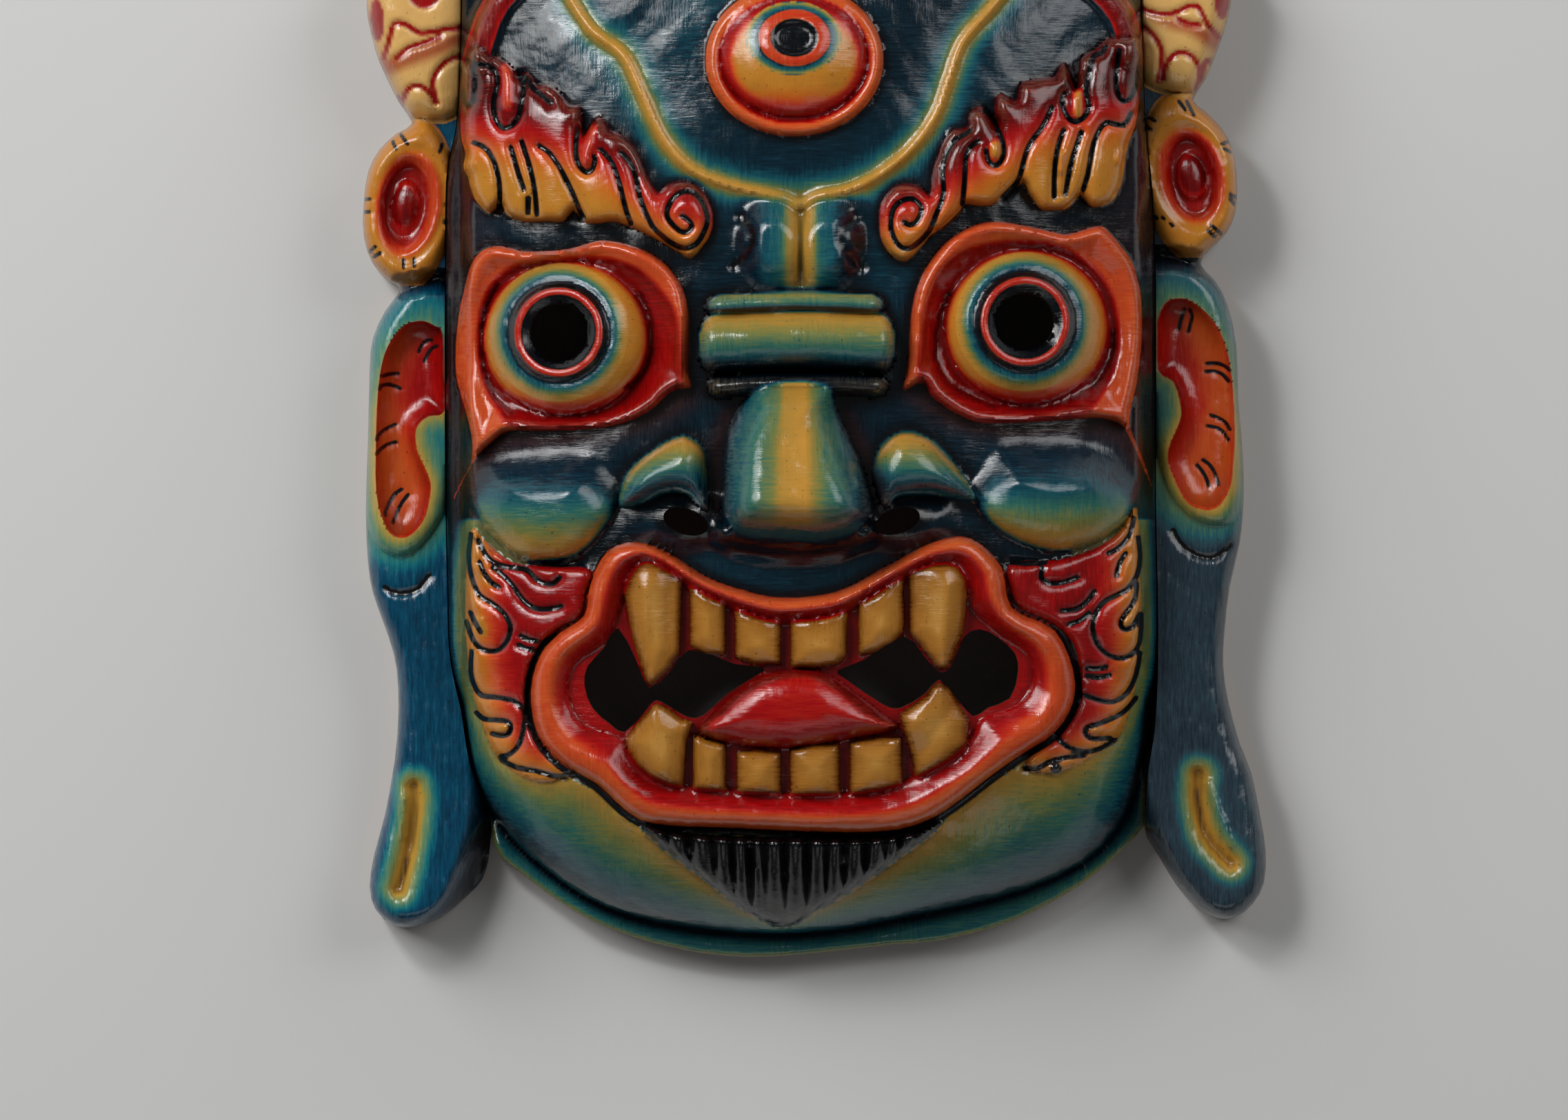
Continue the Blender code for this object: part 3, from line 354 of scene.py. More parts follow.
# Crown of skulls
# The band and three skulls above the forehead, carved from the same block. The photo's edge cuts
# them off, so they are finished plainly, like the skulls on the ear boards.
SKULLS = [(0, 154, 22, 25), (-56, 147, 18, 19), (56, 147, 18, 19)]
SKULL_HEIGHT = 13
SOCKET_DEPTH = 3.5
SOCKET_APART = 0.42        # as a share of the skull's half width
NOSE_HOLE_DEPTH = 2.5
BAND_HEIGHT = 4
BAND_HALF_WIDTH = 5.5


def carve_crown(c):
    band = c.away(smooth_line(DIADEM), 12)
    c.z = c.z + BAND_HEIGHT * bead(band, BAND_HALF_WIDTH)
    above = -depth_in(smooth_line(DIADEM) + [(104, -FAR), (-101, -FAR)], c.x, c.y, 0)
    c.tint("tone", 0.1, above / 4)
    c.cover("warm", 4.2 - band)
    c.tint("ember", 0.14 + 0.22 * ease((band - 2.8) / 1.5), 6 - band)
    for x, y, half_width, half_height in SKULLS:
        up = (c.y - y) / half_height
        across = (c.x - x) / (half_width * (1 + 0.22 * np.clip(up, -1, 0.3)))
        dome = np.sqrt(np.clip(1 - across ** 2 - up ** 2, 0, 1))
        edge = (1 - np.hypot(across, up)) * half_width
        skull = SKULL_HEIGHT * dome ** 0.8
        sockets = [np.hypot((across - side * SOCKET_APART) / 0.25, (up - 0.12) / 0.24) for side in (-1, 1)]
        for socket in sockets:
            skull = skull - SOCKET_DEPTH * ease(1.3 - socket) * (dome > 0)
        nose = np.hypot(across / 0.14, (up + 0.32) / 0.16)
        c.z = c.z + skull - NOSE_HOLE_DEPTH * ease(1.3 - nose) * (dome > 0)
        c.cover("bone", edge)
        c.tint("cream", 1, edge / 0.5)
        red = np.minimum(np.minimum(sockets[0], sockets[1]) * 0.25, nose * 0.15) * half_width
        c.tint("wash", 1, (0.24 * half_width - red) / 0.8 * (dome > 0))
        lips = c.away(smooth_line([(x - 0.55 * half_width, y - 0.42 * half_height),
                                   (x, y - 0.62 * half_height),
                                   (x + 0.55 * half_width, y - 0.42 * half_height)], False, 4), 5)
        c.tint("wash", 1, (0.9 - lips) / 0.4 * (dome > 0))
        for tooth in range(-2, 3):
            arc = c.round_about((x + tooth * 0.2 * half_width, y - 0.8 * half_height),
                                (0.1 * half_width, 0.14 * half_height))
            c.tint("wash", 0.9, (1.2 - abs(arc - 1) * 8) * (c.y > y - 0.8 * half_height) * (dome > 0))
    edge = c.inside(face_outline(), 0, 12)
    c.tint("tone", 0.9, (1 - edge / 3.5) * (c.y > 121))


# Third eye and the two beaded ridges
# A blind eye stands in a raised oval frame in the middle of the forehead. Two gilt ridges spring
# from the bridge of the nose and part round it.
THIRD_EYE = oval((-1.9, 89.6), (27.6, 23.8), 0, 40)
LEFT_RIDGE = [(-75, 115), (-65, 99.4), (-54.9, 91.2), (-48.6, 78.1), (-42.7, 65.5), (-34.5, 56.3),
              (-24.8, 51.7), (-15, 49), (-5, 47), (0, 44.5)]
RIGHT_RIDGE = [(0, 44.5), (5, 47.5), (15, 49.5), (25, 54.5), (35, 63), (42, 73), (46, 84),
               (50, 95), (58, 104.5), (66, 114)]
THIRD_BALL = ((-2.1, 91), (22.8, 19.4))
THIRD_RINGS = ((-2.2, 96), (14.8, 11.5))
THIRD_PUPIL = ((-1.9, 96.1), (11, 8.8))
THIRD_FRAME_HEIGHT = 5
THIRD_FRAME_WIDTH = 2.6
THIRD_BALL_HEIGHT = 9
RIDGE_HEIGHT = 2.4
RIDGE_BED = 1.6


def carve_forehead(c):
    for ridge in (LEFT_RIDGE, RIGHT_RIDGE):
        away = c.away(smooth_line(ridge, False, 4), 30)
        c.z = c.z + RIDGE_HEIGHT * np.exp(-(away / 1.4) ** 2) - RIDGE_BED * np.exp(-(away / 8) ** 2)
        c.tint("tone", 0.66, 0.9 * np.exp(-(away / 5.6) ** 2))
        c.tint("tone", 0.95, np.exp(-(away / 2.2) ** 2))
    inside = c.inside(THIRD_EYE)
    ball = np.sqrt(np.clip(1 - c.round_about(*THIRD_BALL) ** 2, 0, 1))
    frame_height = THIRD_FRAME_HEIGHT * rise(inside, THIRD_FRAME_WIDTH)
    c.z = c.z + frame_height - 2.5 * ease((inside - THIRD_FRAME_WIDTH) / 3) + THIRD_BALL_HEIGHT * ball
    rings = c.round_about(*THIRD_RINGS)
    pupil = c.round_about(*THIRD_PUPIL)
    c.z = c.z + 0.7 * bead(abs(pupil - 0.82) * 10, 2.2) - 1.6 * ease((0.62 - pupil) / 0.15)
    c.tint("tone", 0.05, np.exp(-(np.maximum(0, -inside) / 1.6) ** 2) * 0.8 * (inside > -6))
    c.cover("warm", np.where(inside > 0, np.minimum(inside, (rings - 1) * 12), inside))
    red = ease((inside - 3.6) / 0.8)
    gold = ease((inside - 5.8) / 4.6) * ease((c.y - 70.5) / 12)
    c.tint("ember", mix(mix(0.6, 0.17, red), 0.97, gold), (inside > -1) * 1.0)
    iris = [(0.74, 0.02), (0.77, 0.3), (0.88, 0.42), (1, 0.95)]
    c.tint("tone", lengthwise(iris, rings), (rings < 1.02))
    c.cover("warm", (0.16 - abs(pupil - 0.84)) * 9)
    c.tint("ember", 0.46, (0.24 - abs(pupil - 0.84)) * 12 * (rings < 0.95))
    c.tint("tone", 0.0, (0.7 - pupil) * 12)


# Flame brows
# Thick brows that end in a curl beside the bridge. The carver cut the tongues of the flames with a
# deep knife line between them, and the painter ran red into gold and drew the lines in black.
LEFT_BROW = [(-102.8, 93.4), (-100.6, 94.3), (-98, 92.9), (-96.5, 90.9), (-93.8, 91.2), (-89, 87.3),
             (-87.6, 85.5), (-84.9, 86.1), (-82.9, 84.4), (-81.7, 82), (-78.6, 82.4), (-75.2, 80.5),
             (-71.3, 75.9), (-68.4, 75.7), (-67.7, 72), (-67.2, 66.5), (-65.5, 68.4), (-64, 70.8),
             (-62.1, 72.2), (-60.2, 70.6), (-58.7, 67.9), (-55.8, 67), (-52.9, 64.5), (-50.7, 61.6),
             (-49, 57.8), (-47.6, 53.9), (-44.2, 48.6), (-42.3, 50.3), (-39.4, 51.7), (-36, 52),
             (-32.6, 51), (-29.7, 48.1), (-27.7, 44.2), (-27, 40.3), (-27.7, 36), (-29.7, 32.6),
             (-33.8, 28.2), (-36.5, 29.4), (-40.3, 31.6), (-44.2, 33.8), (-49, 36.2), (-56.8, 39.4),
             (-61.2, 39.1), (-65.5, 38.9), (-67.4, 39.8), (-70.4, 43), (-73.3, 39.6), (-78.1, 39.6),
             (-84.9, 39.5), (-89.2, 40.8), (-91.7, 42.8), (-92.8, 45), (-95, 43.2), (-96.5, 42.3),
             (-98.4, 43.7), (-100.9, 46.6), (-102.3, 50), (-103.3, 53.9), (-104.9, 57.3),
             (-104, 61.2), (-105.2, 64.5), (-105.8, 70.4), (-105.8, 84.9)]
RIGHT_BROW = [(24.3, 40.5), (24.8, 45), (27, 48.5), (30, 51), (34, 51.3), (37.5, 50), (40, 47.5),
              (40.5, 53), (41.3, 57), (42.5, 60), (44, 64), (47, 68), (50, 68.5), (52, 69.5),
              (51.8, 72), (53.5, 74.5), (55.5, 75.3), (57.5, 74.3), (60.8, 69.5), (60, 74),
              (60.5, 78), (62, 79.3), (65.3, 77.5), (67, 77.5), (67.5, 81), (68.8, 83), (70.5, 83.5),
              (76.5, 84.5), (79, 84.8), (80.3, 88), (81.3, 89.3), (83, 87), (85.3, 81), (86.3, 88),
              (87.3, 91), (91.5, 93.3), (94.5, 96.3), (96.5, 97), (101, 96.8), (105.6, 97.3),
              (106, 85), (104.5, 72), (103.3, 68), (102, 64.5), (101, 60.5), (100, 53), (98.5, 49),
              (96.5, 46), (93.5, 44.5), (90, 44.3), (86.8, 47.8), (84.5, 45.5), (82, 43.5),
              (78, 43.1), (74.5, 43.3), (73, 45), (70.5, 48.5), (69, 51.5), (66.5, 50), (64, 47.5),
              (61, 45.5), (58, 44.3), (54, 44.5), (51, 44.8), (49.5, 43), (47, 40.5), (43.5, 37.5),
              (40, 35), (37.6, 32), (32.4, 27), (28.2, 29.1), (26, 32), (24.7, 35.2)]
BROW_LINES = [
    [(-103.3, 90), (-100.9, 88.3), (-97.5, 88.3), (-95, 86.8), (-93.8, 83.9), (-94.1, 81), (-95, 77.6),
     (-95, 74.2), (-94.1, 70.8), (-92.6, 68.9), (-90.7, 68.7), (-88.3, 70.4), (-86.8, 73.7),
     (-86.3, 77.6), (-85.6, 81), (-87.1, 84.9)],
    [(-101.8, 87.8), (-100.9, 84.9), (-101.3, 78.1), (-103, 75.7), (-104.5, 78.1), (-104.7, 80.5)],
    [(-86.5, 85), (-84.9, 83.9), (-82.9, 81), (-80.5, 79.1), (-77.1, 76.2)],
    [(-69.1, 68.4), (-69.5, 61.6), (-68.9, 57.8), (-67, 55.1), (-65, 54.9), (-63.6, 57.8),
     (-63.8, 59.7)],
    [(-61.9, 61.9), (-59.7, 59.7), (-57.8, 56.8), (-56.3, 52.4), (-54.9, 47.1), (-53.9, 42.8),
     (-52.4, 38.9)],
    [(-55.3, 60.7), (-52.4, 57.3), (-50.7, 52.4), (-49.8, 47.6), (-48.1, 42.8), (-45.7, 37.9),
     (-42.7, 35), (-39.4, 32.6), (-35.5, 31.1), (-32.1, 32.6), (-29.7, 36.5), (-28.7, 40.3),
     (-30.2, 45.2), (-32.6, 48.1), (-35.5, 48.8), (-38.4, 47.6), (-40.3, 45.2), (-41.3, 42.3),
     (-40.6, 39.8), (-37.4, 36.5), (-35, 36.2), (-33.5, 37.9), (-34.5, 39.8), (-36.5, 41.1)],
    [(-81, 63.1), (-78.1, 61.2), (-75.7, 58.2), (-73.7, 54.9), (-71.8, 51), (-69.9, 47.1),
     (-68.4, 43.2), (-67.2, 40.8)],
    [(-89.7, 62.8), (-88.3, 58), (-86.8, 53), (-85.6, 49.5)],
    [(-84.4, 47.1), (-84.4, 42.3)],
    [(-86.3, 64.5), (-84.4, 58.7), (-82.9, 52.9), (-82, 47.1), (-81.6, 41.8)],
    [(-101.3, 64.3), (-98.9, 63.3), (-96.5, 61.2), (-94.6, 57.3), (-93.4, 52.4), (-93.1, 47.1),
     (-93.6, 44.2)],
    [(32, 39.3), (33.5, 38.3), (35.5, 39), (37, 41.5), (37.3, 44), (35.5, 46), (33.5, 46.5),
     (30.8, 45.5), (28.8, 43.5), (28, 40.5), (28, 37), (29.3, 33.5), (31.3, 31.3), (34, 31.3),
     (37, 33.5), (40, 37), (42, 42), (43.5, 45.5), (44.3, 49.5), (43.8, 54.5), (44.3, 58),
     (45.5, 61.5), (47.5, 64.5), (50, 66), (52.5, 67.5)],
    [(57, 74), (59.5, 71), (61, 68), (62.5, 64), (62.8, 60.5), (61.5, 57.5), (59.8, 56.8),
     (58, 58.3), (57.3, 61.5)],
    [(55, 64.3), (52.5, 62.5), (51, 59), (50.8, 54.5), (50.5, 49.5), (50, 45)],
    [(77.8, 75), (76, 71), (73.8, 67.5), (71.5, 64.5), (70, 61.5), (68.8, 57.5), (67.8, 53.5),
     (66, 50.5), (62.5, 47)],
    [(82, 79.5), (80.8, 77), (81.8, 73.5), (83.5, 71), (85.5, 70.5), (87.8, 72), (89.3, 75),
     (88.5, 79.5), (89, 84), (90, 88.5), (91, 91.3), (93.5, 92), (94.5, 94)],
    [(98.8, 93), (98, 87), (97.8, 82), (99, 78), (100.5, 77), (102.5, 78.5), (104, 82), (105, 88)],
    [(81.5, 68), (80, 64), (79, 59), (78.5, 53), (78.5, 47)],
    [(87, 67.5), (85, 62), (83.3, 56), (82, 48)],
    [(102.5, 73.5), (100, 69.5), (95, 70.5), (92.5, 68), (91, 64.5), (90, 60.5), (89, 54.5),
     (87.5, 49.5)]]
BROW_DROPS = [([(-91, 87), (-90.8, 76)], 1.6, 0.45), ([(-64.5, 68), (-66.5, 57.5)], 1.4, 0.4),
              ([(60.5, 62.5), (60.5, 61)], 1.9, 0.95), ([(86, 79), (86, 73)], 1.2, 0.95),
              ([(80.3, 60), (80.5, 55.5)], 1.5, 0.9), ([(-102.8, 57.8), (-102.8, 56.8)], 1.7, 0.95),
              ([(99.5, 61.5), (99, 58.5)], 1.2, 0.9)]
LEFT_BROW_CHANGE = [(-105, 66), (-95, 64), (-80, 61), (-66, 58), (-55, 50), (-45, 42), (-28, 38)]
RIGHT_BROW_CHANGE = [(24, 38), (40, 42), (50, 50), (60, 57), (75, 66), (100, 71)]
BROW_HEIGHT = 10
BROW_CUT = 1.3
BROW_DROP_HEIGHT = 1.7
LINE_HALF_WIDTH = 0.85
TONGUE_BEND = 5            # how far the tongues of a flame fall towards a knife line


def carve_brows(c):
    for brow, change in ((LEFT_BROW, LEFT_BROW_CHANGE), (RIGHT_BROW, RIGHT_BROW_CHANGE)):
        inside = c.inside(brow, 2, 20)
        c.z = c.z + BROW_HEIGHT * (0.72 * rise(inside, 3) + 0.28 * rise(inside, 13))
        c.cover("warm", inside)
        below = lengthwise(change, c.x) - c.y
        c.tint("ember", 0.05 + 0.93 * ease(below / 26 + 0.52), inside + 1)
        c.tint("tone", 0.02, np.exp(-(np.maximum(0, -inside) / 1.3) ** 2) * 0.85 * (inside > -5))
    warm = np.clip(c.paint["warm"], 0, 1) * (c.y > 25) * (c.y < 99)
    nearest = np.full(c.x.shape, 6.0)
    for points in BROW_LINES:
        nearest = np.minimum(nearest, c.away(smooth_line(points), 6))
    c.z = c.z + (BROW_CUT * rise(nearest, TONGUE_BEND) - BROW_CUT) * (nearest < 6) * warm
    for points in BROW_LINES:
        c.line(points, LINE_HALF_WIDTH, BROW_CUT)
    for points, half, heat in BROW_DROPS:
        c.drop(points, half, BROW_DROP_HEIGHT, heat)


# Eyes
# Bulging eyeballs in wide lids. The lids turn in at a fold, and each ball is ringed gold, teal, black
# and red round its drilled hole.
LEFT_LID = [(-34.5, -6.4), (-34.5, 3.3), (-34.8, 12), (-36.5, 18.8), (-39.4, 23.6), (-43.2, 27.5),
            (-48.1, 30.4), (-53.9, 32.6), (-59.7, 33.7), (-64.5, 33.3), (-72.3, 31.1), (-82.9, 30.4),
            (-88, 31), (-93.6, 32.3), (-97.5, 31.6), (-100.4, 29.4), (-102.3, 26.5), (-103.8, 21.7),
            (-106.4, 10.5), (-107.3, -1.6), (-106.9, -8.8), (-105.2, -15.1), (-102.1, -26.8),
            (-102.3, -35.5), (-105.7, -40.8), (-108, -46.5), (-104.6, -39.5), (-100.6, -33.2),
            (-95.5, -28.2), (-90.2, -25.1), (-78.1, -25.1), (-63.6, -24.4), (-56.3, -23.1),
            (-50.5, -21), (-45.2, -17.8), (-41.8, -14.4), (-37.9, -12.2), (-34, -11.6)]
RIGHT_LID = [(32.1, -12.5), (32.4, -8.5), (33.2, -2.7), (34.2, 10.4), (35.3, 16.7), (37.1, 22),
             (39.7, 26.7), (43.4, 31.5), (47.6, 35.2), (52.9, 38.1), (58.2, 39.4), (63.4, 39.4),
             (73.9, 37.5), (81.3, 35.8), (84.5, 36.2), (90.3, 38.1), (93.4, 38.3), (96.1, 36.2),
             (102.4, 28.3), (104.5, 22.5), (105.8, 17.3), (106.1, 4.1), (104.5, -9.6),
             (102.4, -19.1), (102.6, -25), (106.6, -34.3), (109.4, -42.5), (104, -30.5),
             (100, -23.5), (95, -21.4), (87.6, -21.2), (70.3, -22.5), (56.1, -22.7), (49.7, -20.6),
             (44.5, -17.5), (40.3, -14), (37.6, -10.1)]
LEFT_FOLD = [(-36.7, -10.8), (-36.7, 3.3), (-39.4, 13.9), (-46.6, 22.6), (-51.5, 26), (-58.7, 28.4),
             (-68.4, 28.8), (-78, 28), (-85.4, 27.4), (-90.7, 25.4), (-96.5, 20.2), (-99.6, 12),
             (-100.4, 0.8), (-99.2, -8), (-96.8, -14.5), (-93.6, -19.5), (-90.2, -23.6), (-78, -24.9),
             (-63.6, -24.2), (-50.5, -20.8), (-41.8, -14.2)]
RIGHT_FOLD = [(36.6, -9.6), (36.7, 2.5), (38, 12.5), (40.8, 20.9), (44.5, 26.9), (50.8, 31.4),
              (59.7, 33.6), (70.3, 33.9), (80.8, 32.3), (91.3, 25.6), (96.5, 18.3), (98.8, 10.4),
              (99.4, 2.1), (98, -6.7), (94.4, -13), (88, -20.4), (70.3, -22.3), (56.1, -22.5),
              (44.5, -17.3)]
EYES = [(LEFT_LID, LEFT_FOLD, (-73, 3.4), (25.6, 23.8), (-74.8, 5.3)),
        (RIGHT_LID, RIGHT_FOLD, (70.1, 6.9), (25.2, 23.8), (69.4, 8.6))]
EYE_CREASES = [[(-93.8, 20.2), (-96.8, 14.5), (-98.6, 7.5), (-98.8, 0.5), (-97.6, -7), (-94.8, -13.5),
                (-89.7, -19.3)],
               [(-49.5, 16.8), (-46.8, 10.5), (-45.9, 3.3), (-47.2, -3.5), (-50, -8.5), (-53.9, -11.8)],
               [(46, 17.3), (43.4, 11), (42, 3), (42.4, -3.5), (45, -9), (50.5, -13.5), (60.3, -17.8)],
               [(97.1, 5.2), (96.2, -1), (93.9, -6.4), (90.8, -10.8)]]
LID_HEIGHT = 8
LID_FALL = 8.6
BALL_BED = 0.6
BALL_HEIGHT = 17
PUPIL_RING = 10.9          # radii round the drilled hole
BLACK_RING = 15.6
RED_RING = 12.7
PUPIL_EDGE = 10.6
CREASE_DEPTH = 1.3


def carve_eyes(c):
    plain = c.z
    for lid, fold, centre, half, hole in EYES:
        inside = c.inside(lid)
        fold_in = c.inside(fold)
        round_eye = c.round_about(centre, half)
        to_ball = np.maximum(0, round_eye - 1) * half[1]
        slope = ease(inside / (np.maximum(inside, 0) + to_ball + 1e-6))
        lids = plain + LID_HEIGHT * rise(inside, 3) - LID_FALL * slope
        lids = lids + 0.8 * bead(abs(fold_in), 1.6) * (inside > 2)
        ball = BALL_HEIGHT * np.sqrt(np.clip(1 - round_eye ** 2, 0, 1))
        ring = np.hypot(c.x - hole[0], c.y - hole[1])
        ball = ball - 1.3 * bead(abs(ring - BLACK_RING), 1.5) - 1.5 * ease((13.4 - ring) / 3)
        ball = ball + 1.2 * bead(abs(ring - RED_RING), 2.2) - 1.4 * ease((PUPIL_EDGE - ring) / 1.6)
        c.z = np.where(inside > 0, np.where(round_eye < 1, plain - BALL_BED + ball, lids), c.z)
        c.tint("tone", 0.03, np.exp(-(np.maximum(0, -inside) / 2.6) ** 2) * 0.8 * (inside > -9))
        c.cover("warm", np.where(inside > 0, np.minimum(inside, ring - 21.5), inside))
        flange = mix(0.56, 0.17, ease((fold_in + 0.6) / 1.6))
        edge_of_ball = (1 - round_eye) * 22
        onto = ease((edge_of_ball + 0.8) / 2.6)
        low = ease((centre[1] - 13 - c.y) / 9)
        ball_heat = mix(0.97, 0.35, low * ease((9 - edge_of_ball) / 9))
        c.tint("ember", mix(flange, ball_heat, onto), inside + 1)
        rings = [(13.8, 0.0), (15.4, 0.0), (15.8, 0.3), (17.6, 0.4), (19, 0.62), (20.4, 0.88), (22, 1.0)]
        c.tint("tone", lengthwise(rings, ring), (23.5 - ring) / 1.5)
        c.cover("warm", 1.0 - abs(ring - RED_RING))
        c.tint("ember", 0.36, (2 - abs(ring - RED_RING)) / 0.5)
        c.tint("tone", 0.0, (11.6 - ring) / 0.5)
    for crease in EYE_CREASES:
        away = c.away(smooth_line(crease, False, 4), 6)
        c.z = c.z - CREASE_DEPTH * bead(away, 1.2)
        c.tint("ember", 0.08, (1.1 - away) / 0.5)


# Bridge and nose
# Three rolls of skin lie across the bridge under two knots of the brow. The nose is a rounded block
# with a gilt stripe, its wings curl over the nostrils.
NOSE = [(-11.5, -10), (-18.5, -17), (-22, -24), (-23.8, -33), (-24.3, -42), (-24.5, -50), (-21.2, -56.7),
        (-15.1, -59), (-6.9, -59.8), (4.2, -60.3), (12.5, -59), (18, -56.7), (22.6, -51), (21.4, -42),
        (18, -33), (14.4, -25.5), (11.2, -18), (8.5, -10)]
NOSE_LINE = [(-62, 95.3), (-50, 103.1), (-38, 100.2), (-25, 94.6), (-10, 87.8)]
NOSE_ROLLS = [(-29.2, 26, 14, 3.6, 5), (-31.7, 29.5, 2.4, 9.2, 9), (-29, 27, -11, 3.4, 3.5)]
ROLL_END = 4.5
KNOTS = [(-8, 32.5, 13, 17), (8, 32.5, 13, 17)]
KNOT_CREASES = [[(-18.5, 41.1), (-15, 36.6), (-15.8, 30.4), (-20.8, 25.9)],
                [(16.8, 40.9), (12.8, 37.5), (12.4, 33.9), (15, 29.5), (19, 25.4)]]
LEFT_WING = [(-56.5, -48.5), (-53.5, -38.1), (-45.5, -31.1), (-37.9, -27), (-33.5, -27.7),
             (-30.2, -30.6), (-28.7, -35.5), (-28.3, -50.5), (-34.9, -45.2), (-42, -44.8),
             (-49.1, -47.9)]
RIGHT_WING = [(22.1, -40.1), (22.4, -35.4), (24.5, -30.6), (28.2, -26.9), (32.4, -25.6),
              (37.1, -26.4), (42.4, -29.6), (51.3, -40.1), (54, -47), (41.8, -45.4), (30.2, -45.7),
              (25.7, -49.5)]
WING_EDGES = [[(-56, -48.7), (-49.1, -47.9), (-42, -44.8), (-34.9, -45.2), (-28.5, -50.5)],
              [(54, -47), (41.8, -45.4), (34.6, -44.6), (30.2, -45.7), (25.7, -49.3)]]
UNDER_NOSE = [(-26, -59.5), (-21.8, -63.4), (-15.1, -65.3), (-4.1, -65.9), (8, -65.3), (13.6, -63.9),
              (18.6, -60.6)]
ROLL_TONES = [[(10.4, 0.4), (12.5, 0.5), (15.5, 0.58), (17.5, 0.8)],
              [(-6.6, 0.05), (-4.6, 0.26), (-1.5, 0.46), (2.5, 0.58), (6, 0.72), (9, 0.84), (11.4, 1)],
              [(-13.8, 0.0), (-10, 0.1), (-7.5, 0.02)]]
KNOT_HEIGHT = 7
KNOT_PARTING = 1.4
KNOT_CREASE_DEPTH = 1.2
WING_HEIGHT = 14
WING_BEND = 9
NOSTRIL_SWELL = 5
ROLL_BED = 4
NOSE_BEND = 13
UNDER_NOSE_HEIGHT = 8
NOSE_STRIPES = [(-25, 0.3), (-20.5, 0.42), (-15, 0.52), (-9, 0.64), (-6, 0.86), (1.5, 0.95), (4, 0.74),
                (8, 0.56), (14, 0.46), (19, 0.3), (23, 0.16)]
WING_TONES = [(0, 0.12), (2, 0.3), (7, 0.45), (11, 0.62), (15, 0.8), (19, 0.95)]


def carve_bridge(c):
    knots = [c.round_about((x, y), (half_width, half_height)) for x, y, half_width, half_height in KNOTS]
    parting = KNOT_PARTING * bead(abs(c.x), 1.5) * ease((15 - abs(c.y - 32)) / 3)
    c.z = c.z + KNOT_HEIGHT * ease((1 - np.minimum(knots[0], knots[1])) * 1.5) - parting
    here = ease((18 - abs(c.y - 31)) / 5) * ease((24 - abs(c.x)) / 8)
    across = [(-24, 0.12), (-15, 0.2), (-11, 0.36), (-6, 0.46), (-3.6, 0.78), (-1, 0.9), (0, 0.7),
              (1, 0.9), (3.6, 0.82), (5.6, 0.46), (10, 0.38), (15, 0.14), (24, 0.1)]
    c.tint("tone", lengthwise(across, c.x), here)
    for crease in KNOT_CREASES:
        away = c.away(smooth_line(crease, False, 4), 5)
        c.z = c.z - KNOT_CREASE_DEPTH * bead(away, 2)
        c.tint("tone", 0.0, (1.2 - away) / 0.8)


def carve_rolls_and_nose(c, plain):
    for wing, edge in zip((LEFT_WING, RIGHT_WING), WING_EDGES):
        inside = c.inside(wing, 3, 12)
        c.z = c.z + WING_HEIGHT * rise(inside, WING_BEND)
        away = c.away(smooth_line(edge), 25)
        tone = lengthwise(WING_TONES, away + 8 * ease((3 - inside) / 3))
        c.tint("tone", 0.05, np.exp(-(np.maximum(0, -inside) / 4) ** 2) * 0.8 * (inside > -10))
        c.tint("tone", tone, inside + 0.5)
    for (x, y), turn in NOSTRILS:
        c.z = c.z + NOSTRIL_SWELL * ease(1.4 - c.round_about((x, y), (15, 8)))
        c.tint("tone", 0.0, 3.2 * (1.3 - c.round_about((x, y), (9, 5), turn)))
    for (left, right, up, half_width, height), tones in zip(NOSE_ROLLS, ROLL_TONES):
        past_end = np.maximum(0, np.maximum(left + ROLL_END - c.x, c.x - right + ROLL_END))
        over = np.hypot(past_end * half_width / ROLL_END, c.y - up - 1.2 * np.cos(c.x / 19) + 0.8)
        roll = plain + ROLL_BED + (height + ROLL_BED) * bead(over, half_width) - 6 * (over > half_width)
        c.z = np.maximum(c.z, roll)
        beside = np.exp(-(np.maximum(0, over - half_width) / 1.2) ** 2)
        c.tint("tone", 0.0, beside * (over < half_width + 4))
        c.tint("tone", lengthwise(tones, c.y), (half_width - over) / 0.6)
    under = ease((7 - c.away([(-22, -57), (0, -60), (19, -57)], 8)) / 7)
    c.z = c.z + UNDER_NOSE_HEIGHT * under * (c.y < -50)
    inside = c.inside(NOSE, 3, 20)
    block = plain + (profile(NOSE_LINE, c.y) - plain) * rise(inside, NOSE_BEND)
    beside = np.exp(-(np.maximum(0, -inside - 1.5) / 3) ** 2) * (inside > -9) * ease((0.5 - inside) / 2)
    c.tint("rust", 0.8, beside * ease((c.y + 52) / 3) * ease((-16 - c.y) / 4))
    c.tint("tone", 0.08, np.exp(-(np.maximum(0, -inside) / 5) ** 2) * 0.8 * (inside > -12) * (inside < 0))
    c.z = np.where(inside > 0, np.maximum(c.z, block), c.z)
    narrowing = lengthwise([(-60, 1), (-30, 1.05), (-14, 1.35)], c.y)
    tone = lengthwise(NOSE_STRIPES, c.x * narrowing)
    tone = mix(tone, 0.45, ease((-52 - c.y) / 4))
    c.tint("tone", tone, (inside - 0.3) / 1.2)
    lip = c.away(smooth_line(UNDER_NOSE), 5)
    c.z = c.z + 0.9 * bead(lip, 1.6)


